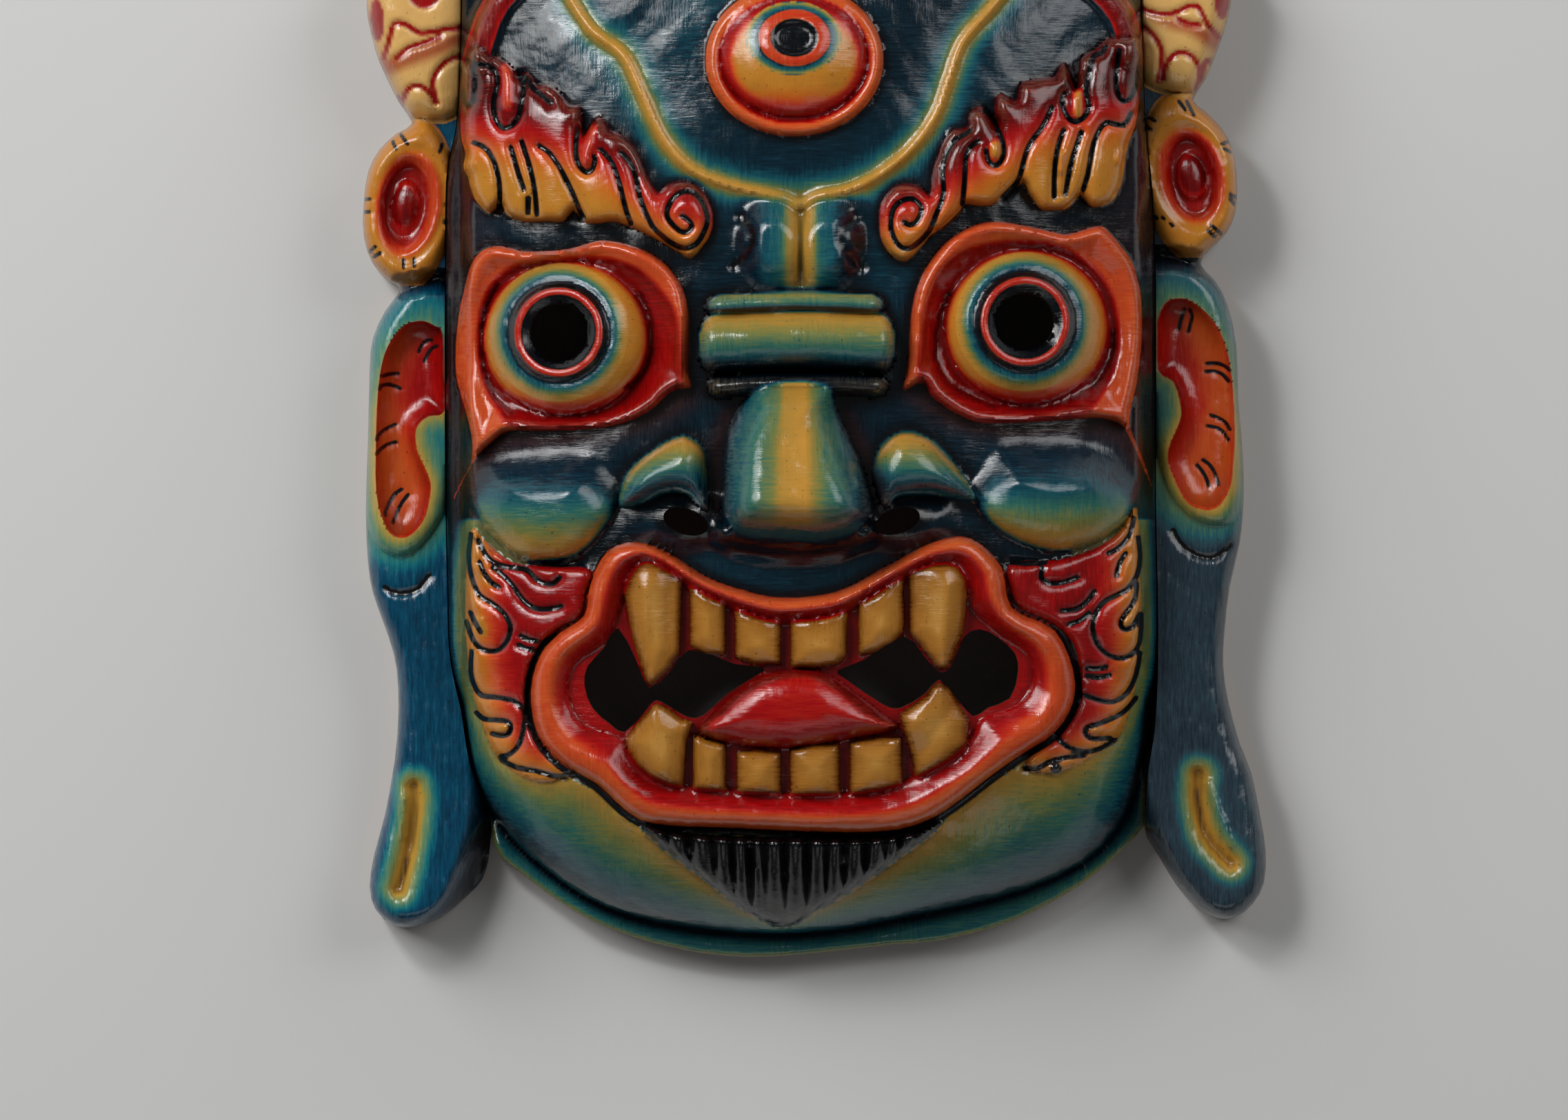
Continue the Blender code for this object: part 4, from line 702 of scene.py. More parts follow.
# Cheeks and flame whiskers
# Round cheeks like balls, shaded from blue down to gold. Below them flames are cut in low relief
# beside the mouth, red within and gilt along the outer edge, with the lines drawn in black.
LEFT_BALL = [(-100, -33), (-103, -44), (-98, -55), (-88, -64.3), (-79.2, -65.2), (-68.6, -63),
             (-60, -54), (-56.5, -46), (-58, -36), (-66, -30.5), (-80, -30)]
RIGHT_BALL = [(53.3, -45.7), (63, -56.9), (79.4, -62.5), (94.7, -58), (103.9, -47.7),
              (102, -34), (92, -28), (78, -26.3), (62, -27.3), (55, -34)]
LEFT_FLAME = [(-102.5, -56), (-104.3, -80), (-103, -100), (-100, -113), (-95, -125), (-88, -131.5),
              (-80, -134), (-70, -131.5), (-77, -125.5), (-82.5, -119), (-85, -109), (-84, -100),
              (-81, -92.5), (-74.5, -86), (-68, -82), (-66.5, -75), (-65, -68), (-78, -67),
              (-90, -65.5), (-98, -59)]
RIGHT_FLAME = [(104.5, -49), (105.8, -75), (105.8, -95), (102, -113), (98, -121), (90, -126.5),
               (79.5, -131), (70, -130), (72, -125), (80, -119.5), (86, -110), (86.3, -100),
               (84.5, -91), (78, -84.5), (68, -80), (65, -74), (65, -66), (80, -65), (93, -60.5),
               (100, -55)]
FLAME_EDGES = [[(-102, -57)] + LEFT_FLAME[1:8], RIGHT_FLAME[:8]]
FLAME_LINES = [
    [(-102.3, -57), (-103, -63), (-102.5, -69), (-99.9, -75.7), (-95.9, -78.3), (-92, -81.6),
     (-90, -85.5), (-90.7, -89.5), (-93.3, -92.8), (-96.6, -93.4), (-99.9, -92.1), (-101.9, -89.5),
     (-103.2, -86.2), (-103.8, -84.2)],
    [(-102.5, -81.3), (-101.2, -84.2), (-99.2, -87.5)],
    [(-99.6, -65.5), (-98.5, -68.5), (-96, -72), (-93.5, -73.5)],
    [(-100, -59), (-98, -63), (-95, -66), (-90, -67.4), (-85, -68), (-82, -71), (-79.5, -72.3),
     (-76.5, -72.4), (-74.6, -70.5)],
    [(-95.5, -67.4), (-91.5, -70.4), (-88.5, -74), (-86, -77.5), (-82.5, -80), (-78, -80.3),
     (-74, -79.4)],
    [(-79.5, -66.2), (-74, -66.6), (-68, -65.4)],
    [(-102.2, -93.4), (-102.5, -100), (-101.2, -104.6), (-99.2, -107.2), (-95.9, -107.6),
     (-89.4, -108.6), (-86.7, -110.5), (-85.4, -113.2), (-86.1, -118.4), (-87.4, -122.4),
     (-90, -125.3), (-93.3, -126.2)],
    [(-100.9, -112.5), (-98.6, -114.5), (-94.6, -114.8), (-91.3, -115.1), (-90, -116.4),
     (-90.4, -118.8), (-92.7, -119.7), (-95.9, -119.1)],
    [(-93, -127.3), (-88, -129.6), (-82, -130.6), (-77, -132), (-73, -132.4)],
    [(-86.8, -88.6), (-84, -89.8), (-81.5, -90.2)], [(-87.4, -91.4), (-85, -92.6), (-83, -92.8)],
    [(104.9, -58), (105.6, -64), (104.5, -70), (101, -74.5), (95, -77.5), (91.8, -81), (90.6, -86),
     (92, -91), (95.5, -94.6), (100.3, -95.6), (104.5, -93), (105.8, -88), (106, -82)],
    [(103.6, -52), (102, -57.5), (98.5, -61.5), (95.5, -63)],
    [(101, -63), (99, -66), (98, -70)],
    [(104.5, -72), (104, -77), (101.5, -81), (99.5, -84), (100, -86.5), (103, -86), (105.3, -82)],
    [(64.5, -65.7), (70, -66.2), (76, -65.8)],
    [(75, -68), (74.5, -70.5), (77, -72.3), (81.5, -72), (86, -70.4)],
    [(81, -80.8), (85.5, -80.4), (89, -77.8), (91.2, -74.8)],
    [(83.2, -85), (86.8, -83.8), (89.6, -81.4)],
    [(88.8, -98.6), (92.3, -98.8), (95, -98.2)], [(88.8, -101), (92.3, -101.6), (96, -100.8)],
    [(88.2, -107), (92, -108.4), (97, -109.2), (101.5, -106.5), (104.3, -101), (105.6, -94)],
    [(104.5, -108), (101.5, -111.5), (98, -113.8), (93, -115.8), (89, -117), (88.4, -118.8),
     (90.5, -120.6), (96, -120.4)],
    [(80.2, -120.8), (83, -123.2), (88, -124.6), (93, -123.8), (98, -121)],
    [(69.5, -129.6), (73.5, -129.8), (77, -127.8), (82.5, -126.3), (88, -125.8)]]
FLAME_DROPS = [([(-100, -84), (-98.9, -87.3)], 1.7, 0.97), ([(-94, -117.5), (-91.8, -117.3)], 1.7, 0.95),
               ([(102.6, -82.6), (101.5, -84.6)], 1.6, 0.95), ([(-100.3, -68), (-96.5, -72.6)], 0.9, 0.9),
               ([(91.2, -117.6), (92.4, -117.6)], 1.4, 0.9)]
UNDER_EYES = [[(-104, -40), (-100.4, -34), (-88.6, -28), (-65, -26.2), (-46.1, -21.5), (-36, -15)],
              [(104, -34), (100.4, -27), (88.6, -23.6), (65, -24.8), (46.1, -20.5), (36, -14)]]
CHEEK_HEIGHT = 13
CHEEK_TONES = [(-3, 0.98), (4, 0.84), (8, 0.68), (13, 0.54), (19, 0.38), (25, 0.26), (33, 0.2)]
FLAME_HEIGHT = 3.5
FLAME_CUT = 1.1
FLAME_LINE_CUT = 1.0
FLAME_DROP_HEIGHT = 1.5
FLAME_HEATS = [(0, 0.95), (3.5, 0.85), (7, 0.6), (11, 0.32), (15, 0.18)]
CURL_EYE = (79.3, -129.8)  # a black stud at the end of the right whisker


def carve_cheeks(c):
    for line in UNDER_EYES:
        c.tint("rust", 1, np.exp(-(c.away(smooth_line(line), 12) / 4) ** 2) * 1.1)
    for ball, low in ((LEFT_BALL, -65), (RIGHT_BALL, -62.5)):
        inside = c.inside(ball)
        upper = ease((c.y + 53) / 16)
        c.z = c.z + CHEEK_HEIGHT * mix(rise(inside, 15), ease(inside / 19), upper)
        up = c.y - low - 4 * (1 - rise(inside, 12))
        c.tint("tone", lengthwise(CHEEK_TONES, up), (inside + 0.4) / mix(1.5, 10, upper))
    for flame, edge in zip((LEFT_FLAME, RIGHT_FLAME), FLAME_EDGES):
        inside = c.inside(flame, 3, 20)
        c.z = c.z + FLAME_HEIGHT * rise(inside, 2.5)
        c.tint("tone", 0.62, np.exp(-(np.maximum(0, -inside - 2) / 2.5) ** 2) * (inside > -9)
               * (abs(c.x) > 84) * (c.y < -52))
        away = c.away(smooth_line(edge), 20)
        c.tint("ember", lengthwise(FLAME_HEATS, away), inside + 1)
        c.cover("warm", inside)
    nearest = np.full(c.x.shape, 5.0)
    for points in FLAME_LINES:
        nearest = np.minimum(nearest, c.away(smooth_line(points), 5))
    c.z = c.z + (FLAME_CUT * rise(nearest, 4.5) - FLAME_CUT) * (nearest < 5)
    for points in FLAME_LINES:
        c.line(points, LINE_HALF_WIDTH, FLAME_LINE_CUT)
    for points, half, heat in FLAME_DROPS:
        c.drop(points, half, FLAME_DROP_HEIGHT, heat)
    stud = np.hypot(c.x - CURL_EYE[0], c.y - CURL_EYE[1])
    c.z = c.z + 1.6 * bead(stud, 1.9)
    c.cover("ink", 1.8 - stud)


# Mouth
# Fleshy lips, orange outside and red within, round six upper and six lower teeth. The four corner
# teeth are fangs. The tongue stands up behind the lower row, and dark gaps go through beside it.
LIP = [(-5.9, -76.8), (-17.7, -74.5), (-29.4, -70.3), (-41.2, -62.7), (-50.7, -59.6),
       (-59.5, -62.1), (-65.1, -72.1), (-66.9, -82.1), (-74.3, -87.4), (-80.7, -94.5),
       (-83.7, -106), (-81.6, -119.3), (-74.3, -128.1), (-63.1, -134.6), (-54.8, -142.3),
       (-45.4, -147), (-20.6, -148.2), (0, -149.2), (24.2, -149.4), (37.5, -146.7),
       (47.2, -141.2), (58.1, -132.8), (68.4, -125.5), (78.7, -118.8), (84.4, -109.8),
       (84.7, -99.5), (78.7, -86.8), (65.4, -79.8), (62.3, -67.4), (52.7, -58.4), (41.2, -59.5),
       (26, -67.4), (10.9, -75)]
MOUTH = [(-50.7, -68.9), (-44.8, -67.5), (-30.6, -76.5), (-11.8, -84.5), (0, -85), (14.5, -82),
         (36.3, -69.2), (48.4, -68.3), (52.3, -80), (61.1, -88), (69.6, -94), (72, -101.3),
         (67.8, -109.2), (56, -114), (51.5, -121), (42.4, -128), (24, -135.5), (0, -136.8),
         (-20, -136), (-40.7, -133.7), (-50, -128), (-55, -120.5), (-67.2, -116.3),
         (-71.7, -106), (-69.5, -97.5), (-60.1, -90.4), (-55.3, -80)]
UPPER_TEETH = [[(-55.1, -72.7), (-50.1, -68.6), (-44.8, -67.5), (-40.1, -69.4), (-36.2, -72.7),
                (-37.2, -93.8), (-41.2, -99.8), (-45.2, -103.5), (-46.8, -103.8), (-48.3, -101.6),
                (-51.9, -90.4), (-55.4, -77.4)],
               [(-34.5, -74), (-23, -80), (-23, -94.6), (-29, -94.6), (-32.5, -93), (-34.5, -91.4)],
               [(-20.5, -81), (-12, -84.3), (-6, -84.5), (-6, -97.8), (-14, -97.6), (-20.5, -95.7)],
               [(-3.3, -85), (14.5, -82), (14.5, -94.6), (11.5, -97.7), (5, -98.6), (-3.3, -98.4)],
               [(17.8, -80), (25, -76.6), (32, -73), (32.1, -87.4), (28.5, -91.6), (23.6, -94),
                (17.6, -94.8)],
               [(33.3, -72.2), (36.3, -69.2), (42.4, -67.7), (48.4, -68.3), (50.8, -71.6),
                (52.2, -76.5), (50.5, -87.4), (46.6, -97.1), (45.1, -99.2), (42.4, -98.9),
                (36.3, -91), (33.6, -88)]]
LOWER_TEETH = [[(-45.1, -109.2), (-50.7, -115.7), (-54.5, -120.4), (-52.4, -124.6), (-49.5, -128.7),
                (-45.4, -132.2), (-40.7, -133.7), (-36.2, -133.1), (-35, -120.4), (-33, -115.1),
                (-37.1, -114), (-41.2, -110.7)],
               [(-33.5, -118.7), (-28, -120.6), (-22.8, -122), (-22.8, -135.2), (-28, -134.8),
                (-33.5, -133.4)],
               [(-20, -124), (-12, -123.8), (-5.8, -124.5), (-5.8, -136.5), (-13, -136.8), (-20, -136)],
               [(-3.5, -123.7), (4, -122), (12.3, -121.9), (12.3, -136.2), (4, -137), (-3.5, -136.4)],
               [(15, -121.3), (24, -119.8), (31.6, -119.8), (31.8, -132.8), (24, -135.2),
                (15, -135.8)],
               [(43, -102.8), (46.6, -104.9), (50.8, -112.2), (52.4, -114.6), (51.5, -117.6),
                (47.2, -125.5), (42.4, -127.9), (35.9, -129.7), (34, -120), (30.3, -112.8),
                (38.7, -107.3), (40.3, -104.3)]]
ROOT = 5
ROOTED_TEETH = [[(x, y + ROOT * (y > sum(place[1] for place in tooth) / len(tooth))) for x, y in tooth]
                for tooth in UPPER_TEETH]
ROOTED_TEETH += [[(x, y - ROOT * (y < sum(place[1] for place in tooth) / len(tooth))) for x, y in tooth]
                 for tooth in LOWER_TEETH]
FANG_RIDGES = [[(-47.5, -74), (-47.8, -88), (-46.8, -103)], [(45.2, -73), (44.5, -86), (44.4, -98.5)],
               [(-45.3, -110.5), (-45.5, -121), (-43.5, -130)], [(43, -104.5), (36.5, -113.5),
                                                                (33.5, -118.5)]]
TONGUE = [(-31.8, -119), (-26.5, -111), (-16.5, -102.2), (-4.1, -98.9), (6, -99.5), (13.9, -104),
          (25.4, -112.8), (30.3, -117.4), (12.1, -121), (0, -123), (-14.7, -123.1)]
TONGUE_FACE = [(-29, -117.6), (-23.6, -112.8), (-18.8, -108.1), (-12.9, -104.5), (-7.1, -102.5),
               (0, -101.6), (4.8, -102.5), (10.3, -104.9), (14.2, -108), (20, -113), (28, -117),
               (12, -123), (-14.7, -125)]
LIP_HEIGHT = 9.5
LIP_FALL = 6
GUM_HEIGHT = 1.5
TOOTH_HEIGHT = 5.2
TOOTH_CROWN = 1.8
FANG_RIDGE_HEIGHT = 2.4
TONGUE_HEIGHT = 12


def carve_mouth(c):
    lip = c.inside(LIP, 3, 40)
    mouth = c.inside(MOUTH, 3, 40)
    across = np.clip(lip, 0, None) / (np.clip(lip, 0, None) + np.maximum(0, -mouth) + 1e-6)
    gum = c.z + GUM_HEIGHT
    lips = c.z + LIP_HEIGHT * (0.75 * rise(lip, 3.2) + 0.25 * rise(lip, 8))
    lips = lips - LIP_FALL * ease((across - 0.35) / 0.65)
    c.tint("tone", 0.02, np.exp(-(np.maximum(0, -lip) / 2.2) ** 2) * 0.9 * (lip > -8))
    c.z = mix(np.where(lip > 0, lips, c.z), gum, ease((mouth + 1.3) / 1.3))
    c.cover("warm", lip)
    sideways = ease((abs(c.x) - 56) / 14)
    middle_heat = mix(0.58, 0.2, ease((across - 0.34) / 0.22))
    corner_heat = mix(0.54, 0.2, ease((across - 0.55) / 0.25))
    heat = mix(middle_heat, corner_heat, sideways)
    c.tint("ember", mix(heat, 0.2, ease((mouth + 1.2) / 2)), lip + 1)
    low = ease((-84 - c.y) / 5)
    c.cover("ink", (1.0 - abs(lip + 1.1)) * low - 9 * (1 - low))
    c.z = c.z - 1.2 * bead(abs(lip + 1.1), 1.3) * low
    for tooth in ROOTED_TEETH:
        inside = c.inside(tooth, 0, 12)
        shown = ease((mouth + 1.8) / 1.8)
        c.z = c.z + (TOOTH_HEIGHT * rise(inside, 1.8) + TOOTH_CROWN * ease(inside / 7)) * shown
        c.cover("bone", np.minimum(inside, mouth + 0.7))
    for ridge in FANG_RIDGES:
        away = c.away(ridge, 7)
        c.z = c.z + FANG_RIDGE_HEIGHT * np.maximum(0, 1 - away / 7) * (c.paint["bone"] > 0.5)
    inside = c.inside(TONGUE)
    tongue = gum + TONGUE_HEIGHT * rise(inside, 10)
    flat = c.inside(TONGUE_FACE)
    c.z = np.where(inside > 0, np.maximum(c.z, tongue), c.z)
    c.tint("ember", mix(0.1, 0.27, ease((flat + 0.6) / 1.2)), (inside + 0.5) * (c.paint["bone"] < 0))


# Chin and beard
# A pointed beard of upright black locks is cut under the lower lip. The chin rolls down from gold to
# dark blue, to the groove inside the chin rim, and the whole front keeps the marks of the gouge.
BEARD = [(-49.6, -147.1), (-38, -149.4), (-20, -150.6), (0, -151), (20, -150.9), (33, -149.5),
         (44.7, -145.8), (40, -150.7), (29.4, -158.3), (17.6, -166.6), (5.8, -173.7), (-5.4, -179.6),
         (-17.8, -173.7), (-29.6, -164.2), (-41.4, -155.4)]
LOCKS = [-48.5, -41.5, -35, -27.5, -21.5, -16, -11.5, -5, 2, 8.2, 13.9, 20.5, 26.8, 31, 36, 43]
LOCK_TOP = -147
LOCKS_GATHER = 0.002      # how fast the locks draw together downwards, for each share
LOCK_CUTS = [[(lock / (1 + LOCKS_GATHER * down), LOCK_TOP - down) for down in (0, 11, 22, 33)]
             for lock in LOCKS]
LOCK_HEIGHT = 3.6
LOCK_TILT = 1.5
BEARD_HEIGHT = 3
GROOVE_FLOOR = 10
CHIN_RIM_HEIGHT = 2.2
CHIN_TONES = [(0, 0.88), (0.16, 0.76), (0.36, 0.6), (0.58, 0.47), (0.78, 0.36), (0.92, 0.24), (0.98, 0.15)]
GOUGE_DEPTH = 0.16
WAVE_DEPTH = 0.3


def carve_chin(c):
    inside = c.inside(BEARD)
    lean = c.x * (1 + LOCKS_GATHER * (LOCK_TOP - c.y))
    lock = np.clip(np.searchsorted(LOCKS, lean), 1, len(LOCKS) - 1)
    start, end = np.array(LOCKS)[lock - 1], np.array(LOCKS)[lock]
    across = (lean - start) / (end - start)
    tilted = LOCK_TILT * (across - 0.5) * np.sin(2.3 * lock)
    crowned = LOCK_HEIGHT * (1 - abs(2 * across - 1) ** 1.6) + tilted
    c.z = c.z + (BEARD_HEIGHT + crowned) * rise(inside, 3)
    c.cover("hair", inside)
    groove = above_chin_groove(c.x, c.y)
    lip = c.inside(LIP, 3, 60)
    borders = [-lip, 1 - inside] + [2 - c.inside(flame, 3, 60) for flame in (LEFT_FLAME, RIGHT_FLAME)]
    from_mouth = np.maximum(0, np.min(borders, axis=0))
    part = from_mouth / (from_mouth + np.maximum(0, groove) + 1e-6)
    here = ease((-106 - c.y) / 20)
    c.tint("tone", lengthwise(CHIN_TONES, part), here * (inside < 0) * (lip < -1.8) * (groove > 0))
    rolled = GROOVE_FLOOR + (c.z - GROOVE_FLOOR) * (0.3 * rise(groove, 14) + 0.7 * rise(groove, 36))
    rim = GROOVE_FLOOR + CHIN_RIM_HEIGHT * ease(-groove / 4)
    c.z = np.where(groove > 0, rolled, rim)
    edge = c.inside(face_outline(), 0, 12)
    c.tint("tone", mix(0.42, 0.7, ease((2 - edge) / 2)), ease((-groove - 0.2) / 1.8))
    c.z = c.z - 1.4 * (1 - rise(edge, 2.2))


def carved_face(x, y):
    """The whole front of the face, carved from the block and painted."""
    c = Carving(x, y, plain_form(x, y))
    wander = np.sin(x / 23 + 1.3 * np.sin(y / 31)) * np.sin(y / 27 + 0.8)
    c.tint("tone", 0.2 + 0.06 * wander, 1)
    c.tint("rust", 0.5, ease((abs(x) - 88) / 14) * ease((60 - abs(y - 20)) / 20))
    carve_crown(c)
    carve_forehead(c)
    carve_brows(c)
    carve_eyes(c)
    plain = c.z
    carve_bridge(c)
    carve_rolls_and_nose(c, plain)
    carve_cheeks(c)
    carve_mouth(c)
    carve_chin(c)
    gouged = np.sin(x / 2.6 + 1.6 * np.sin(y / 6.3)) * np.sin(y / 3.1 + 1.4 * np.sin(x / 5.1))
    broad = np.sin(x / 5.9 + 1.7 * np.sin(y / 11)) * np.sin(y / 7.2 + 1.2 * np.sin(x / 13))
    c.z = c.z + GOUGE_DEPTH * gouged + WAVE_DEPTH * broad
    return c


SMOOTHING_ROUNDS = 16
DEEPEST_CREASE = 0.95      # depth from which the grime and painted shade in creases are at their thickest, in shares
REAR_KEPT = 0.12           # share of the squares that the plain back keeps
SHARPEST_SMOOTH = 70       # edges over this many degrees stay sharp


def give_thickness(panel, carving, back, at):
    """Raises the carved front, draws walls from its edges and lays the back behind it."""
    ends = np.empty(2 * len(panel.data.edges), np.int32)
    panel.data.edges.foreach_get("vertices", ends)
    one, other = ends.reshape(-1, 2).T
    count = len(carving.z)
    neighbours = np.bincount(one, minlength=count) + np.bincount(other, minlength=count)
    smooth = carving.z
    for _ in range(SMOOTHING_ROUNDS):
        smooth = 0.5 * smooth + 0.5 * (np.bincount(one, smooth[other], count)
                                       + np.bincount(other, smooth[one], count)) / neighbours
    # How far each place lies below its smoothed neighbours; the paint darkens creases by it, grime together
    # with painted shade
    carving.paint["crease"] = np.minimum(smooth - carving.z, DEEPEST_CREASE)
    heights = np.stack((carving.x, carving.y, carving.z), axis=1) * SHARE
    heights[:, 0] += at
    panel.data.vertices.foreach_set("co", heights.ravel())
    for name, values in carving.paint.items():
        layer = panel.data.attributes.new(name, "FLOAT", "POINT")
        layer.data.foreach_set("value", values)
    bpy.ops.object.mode_set(mode="EDIT")
    bpy.ops.mesh.select_all(action="SELECT")
    bpy.ops.mesh.extrude_region()
    bpy.ops.object.mode_set(mode="OBJECT")
    rear = np.empty(len(panel.data.vertices), bool)
    panel.data.vertices.foreach_get("select", rear)
    places = places_of(panel)
    places[rear, 2] = back(places[rear, 0] / SHARE - at / SHARE, places[rear, 1] / SHARE) * SHARE
    panel.data.vertices.foreach_set("co", places.ravel())
    shown = np.empty(len(places))
    panel.data.attributes["front"].data.foreach_get("value", shown)
    shown[rear] = 0
    panel.data.attributes["front"].data.foreach_set("value", shown)
    bpy.ops.object.mode_set(mode="EDIT")
    bpy.ops.mesh.select_all(action="SELECT")
    bpy.ops.mesh.normals_make_consistent(inside=False)
    bpy.ops.object.mode_set(mode="OBJECT")
    group = panel.vertex_groups.new(name="rear")
    group.add([int(i) for i in np.flatnonzero(rear)], 1.0, "REPLACE")
    thin = panel.modifiers.new("thin", "DECIMATE")
    thin.vertex_group = "rear"
    thin.ratio = 0.5 + 0.5 * REAR_KEPT
    bpy.ops.object.modifier_apply(modifier="thin")
    panel.vertex_groups.clear()
    bpy.ops.object.shade_smooth_by_angle(angle=math.radians(SHARPEST_SMOOTH))


class Flow:
    """One socket in a paint's node tree. Sums written on it become Math nodes."""

    def __init__(self, tree, socket=None):
        self.tree = tree
        self.socket = socket

    def node(self, kind, settings=None, sockets=None, output=0):
        """Adds a node, sets it up, fills its sockets and gives one of its outputs."""
        node = self.tree.nodes.new(kind)
        for key, value in (settings or {}).items():
            if key == "stops":
                ramp = node.color_ramp
                while len(ramp.elements) < len(value):
                    ramp.elements.new(1)
                for element, (place, colour) in zip(ramp.elements, value):
                    element.position = place
                    element.color = (*pigment(colour), 1)
            else:
                setattr(node, key, value)
        for key, value in (sockets or {}).items():
            if isinstance(value, Flow):
                self.tree.links.new(value.socket, node.inputs[key])
            else:
                node.inputs[key].default_value = value
        return Flow(self.tree, node.outputs[output])

    def sum(self, operation, first, second=0.0, clamp=False):
        settings = {"operation": operation, "use_clamp": clamp}
        return self.node("ShaderNodeMath", settings, {0: first, 1: second})

    def __add__(self, other):
        return self.sum("ADD", self, other)

    def __radd__(self, other):
        return self.sum("ADD", other, self)

    def __sub__(self, other):
        return self.sum("SUBTRACT", self, other)

    def __rsub__(self, other):
        return self.sum("SUBTRACT", other, self)

    def __mul__(self, other):
        return self.sum("MULTIPLY", self, other)

    def __rmul__(self, other):
        return self.sum("MULTIPLY", other, self)

    def clamped(self):
        return self.sum("ADD", self, 0.0, True)

    def layer(self, name):
        """A layer of paint that the mesh carries."""
        return self.node("ShaderNodeAttribute", {"attribute_name": name}, output="Fac")

    def patch(self, name, unevenness, sharpness):
        """Where a patch of paint covers, with an edge that is a little uneven."""
        return ((self.layer(name) + unevenness) * sharpness + 0.5).clamped()

    def noise(self, vector, scale, detail=3.0, roughness=0.55):
        sockets = {"Vector": vector, "Scale": scale, "Detail": detail, "Roughness": roughness}
        return self.node("ShaderNodeTexNoise", {}, sockets)

    def colours(self, stops):
        """Reads a colour from stops, with this value as the place."""
        return self.node("ShaderNodeValToRGB", {"stops": stops}, {"Fac": self})

    def choose(self, below, above):
        """The first colour where this value is 0, the second where it is 1."""
        return self.node("ShaderNodeMix", {"data_type": "RGBA"}, {"Factor": self, "A": below, "B": above},
                         "Result")


def pigment(colour):
    """Linear light of a colour given as it looks on a screen, 0 to 255."""
    return tuple((value / 255) ** 2.2 for value in colour)


FACE_SKIN = [(0, (6, 12, 16)), (0.12, (9, 24, 32)), (0.25, (14, 42, 54)), (0.38, (24, 78, 90)),
             (0.5, (52, 100, 86)), (0.64, (106, 114, 64)), (0.8, (156, 122, 54)), (1, (190, 134, 56))]
HEAT = [(0, (58, 16, 12)), (0.12, (108, 14, 14)), (0.25, (154, 16, 18)), (0.42, (176, 44, 26)),
        (0.58, (190, 76, 36)), (0.75, (190, 100, 32)), (1, (178, 120, 44))]
TOOTH = [(0, (84, 42, 14)), (0.12, (128, 78, 26)), (0.35, (156, 103, 40)), (0.8, (170, 118, 52)),
         (1, (180, 130, 62))]
SKULL_BONE = [(0, (156, 98, 40)), (0.25, (192, 142, 72)), (1, (206, 162, 96))]
BLACK_LINE = (20, 20, 22)
HAIR_BLACK = (10, 11, 13)
RUST = (62, 32, 26)
SPECK = (24, 18, 14)
# Colours laid into creases: grime and painted shade in one, dark red on the red paint
CREASE_GRIME_AND_SHADE = (18, 13, 12)
RED_CREASE_GRIME_AND_SHADE = (74, 9, 10)
WORN = (214, 186, 140)
BARE_WOOD = [(0, (78, 50, 30)), (0.5, (128, 90, 56)), (1, (158, 118, 76))]
PATCH_SCALE = 16.0         # scales of the paint's patterns, per metre
CLOUD_SCALE = 38.0
DENT_SCALE = 120.0
STROKE_SCALE = 150.0
WOBBLE_SCALE = 260.0
SPECK_SCALE = 620.0
GRAIN_SCALE = 900.0
SMOOTHEST = 0.06
WOOD_ROUGHER = 0.45
DENT_DEPTH = 0.0016
VARNISH_IOR = 1.55


def flat_paint(flow, colour):
    """A plain colour as a one-colour ramp, so it can be mixed."""
    return flow.node("ShaderNodeValToRGB", {"stops": [(0, colour), (1, colour)]}, {"Fac": 0.5})


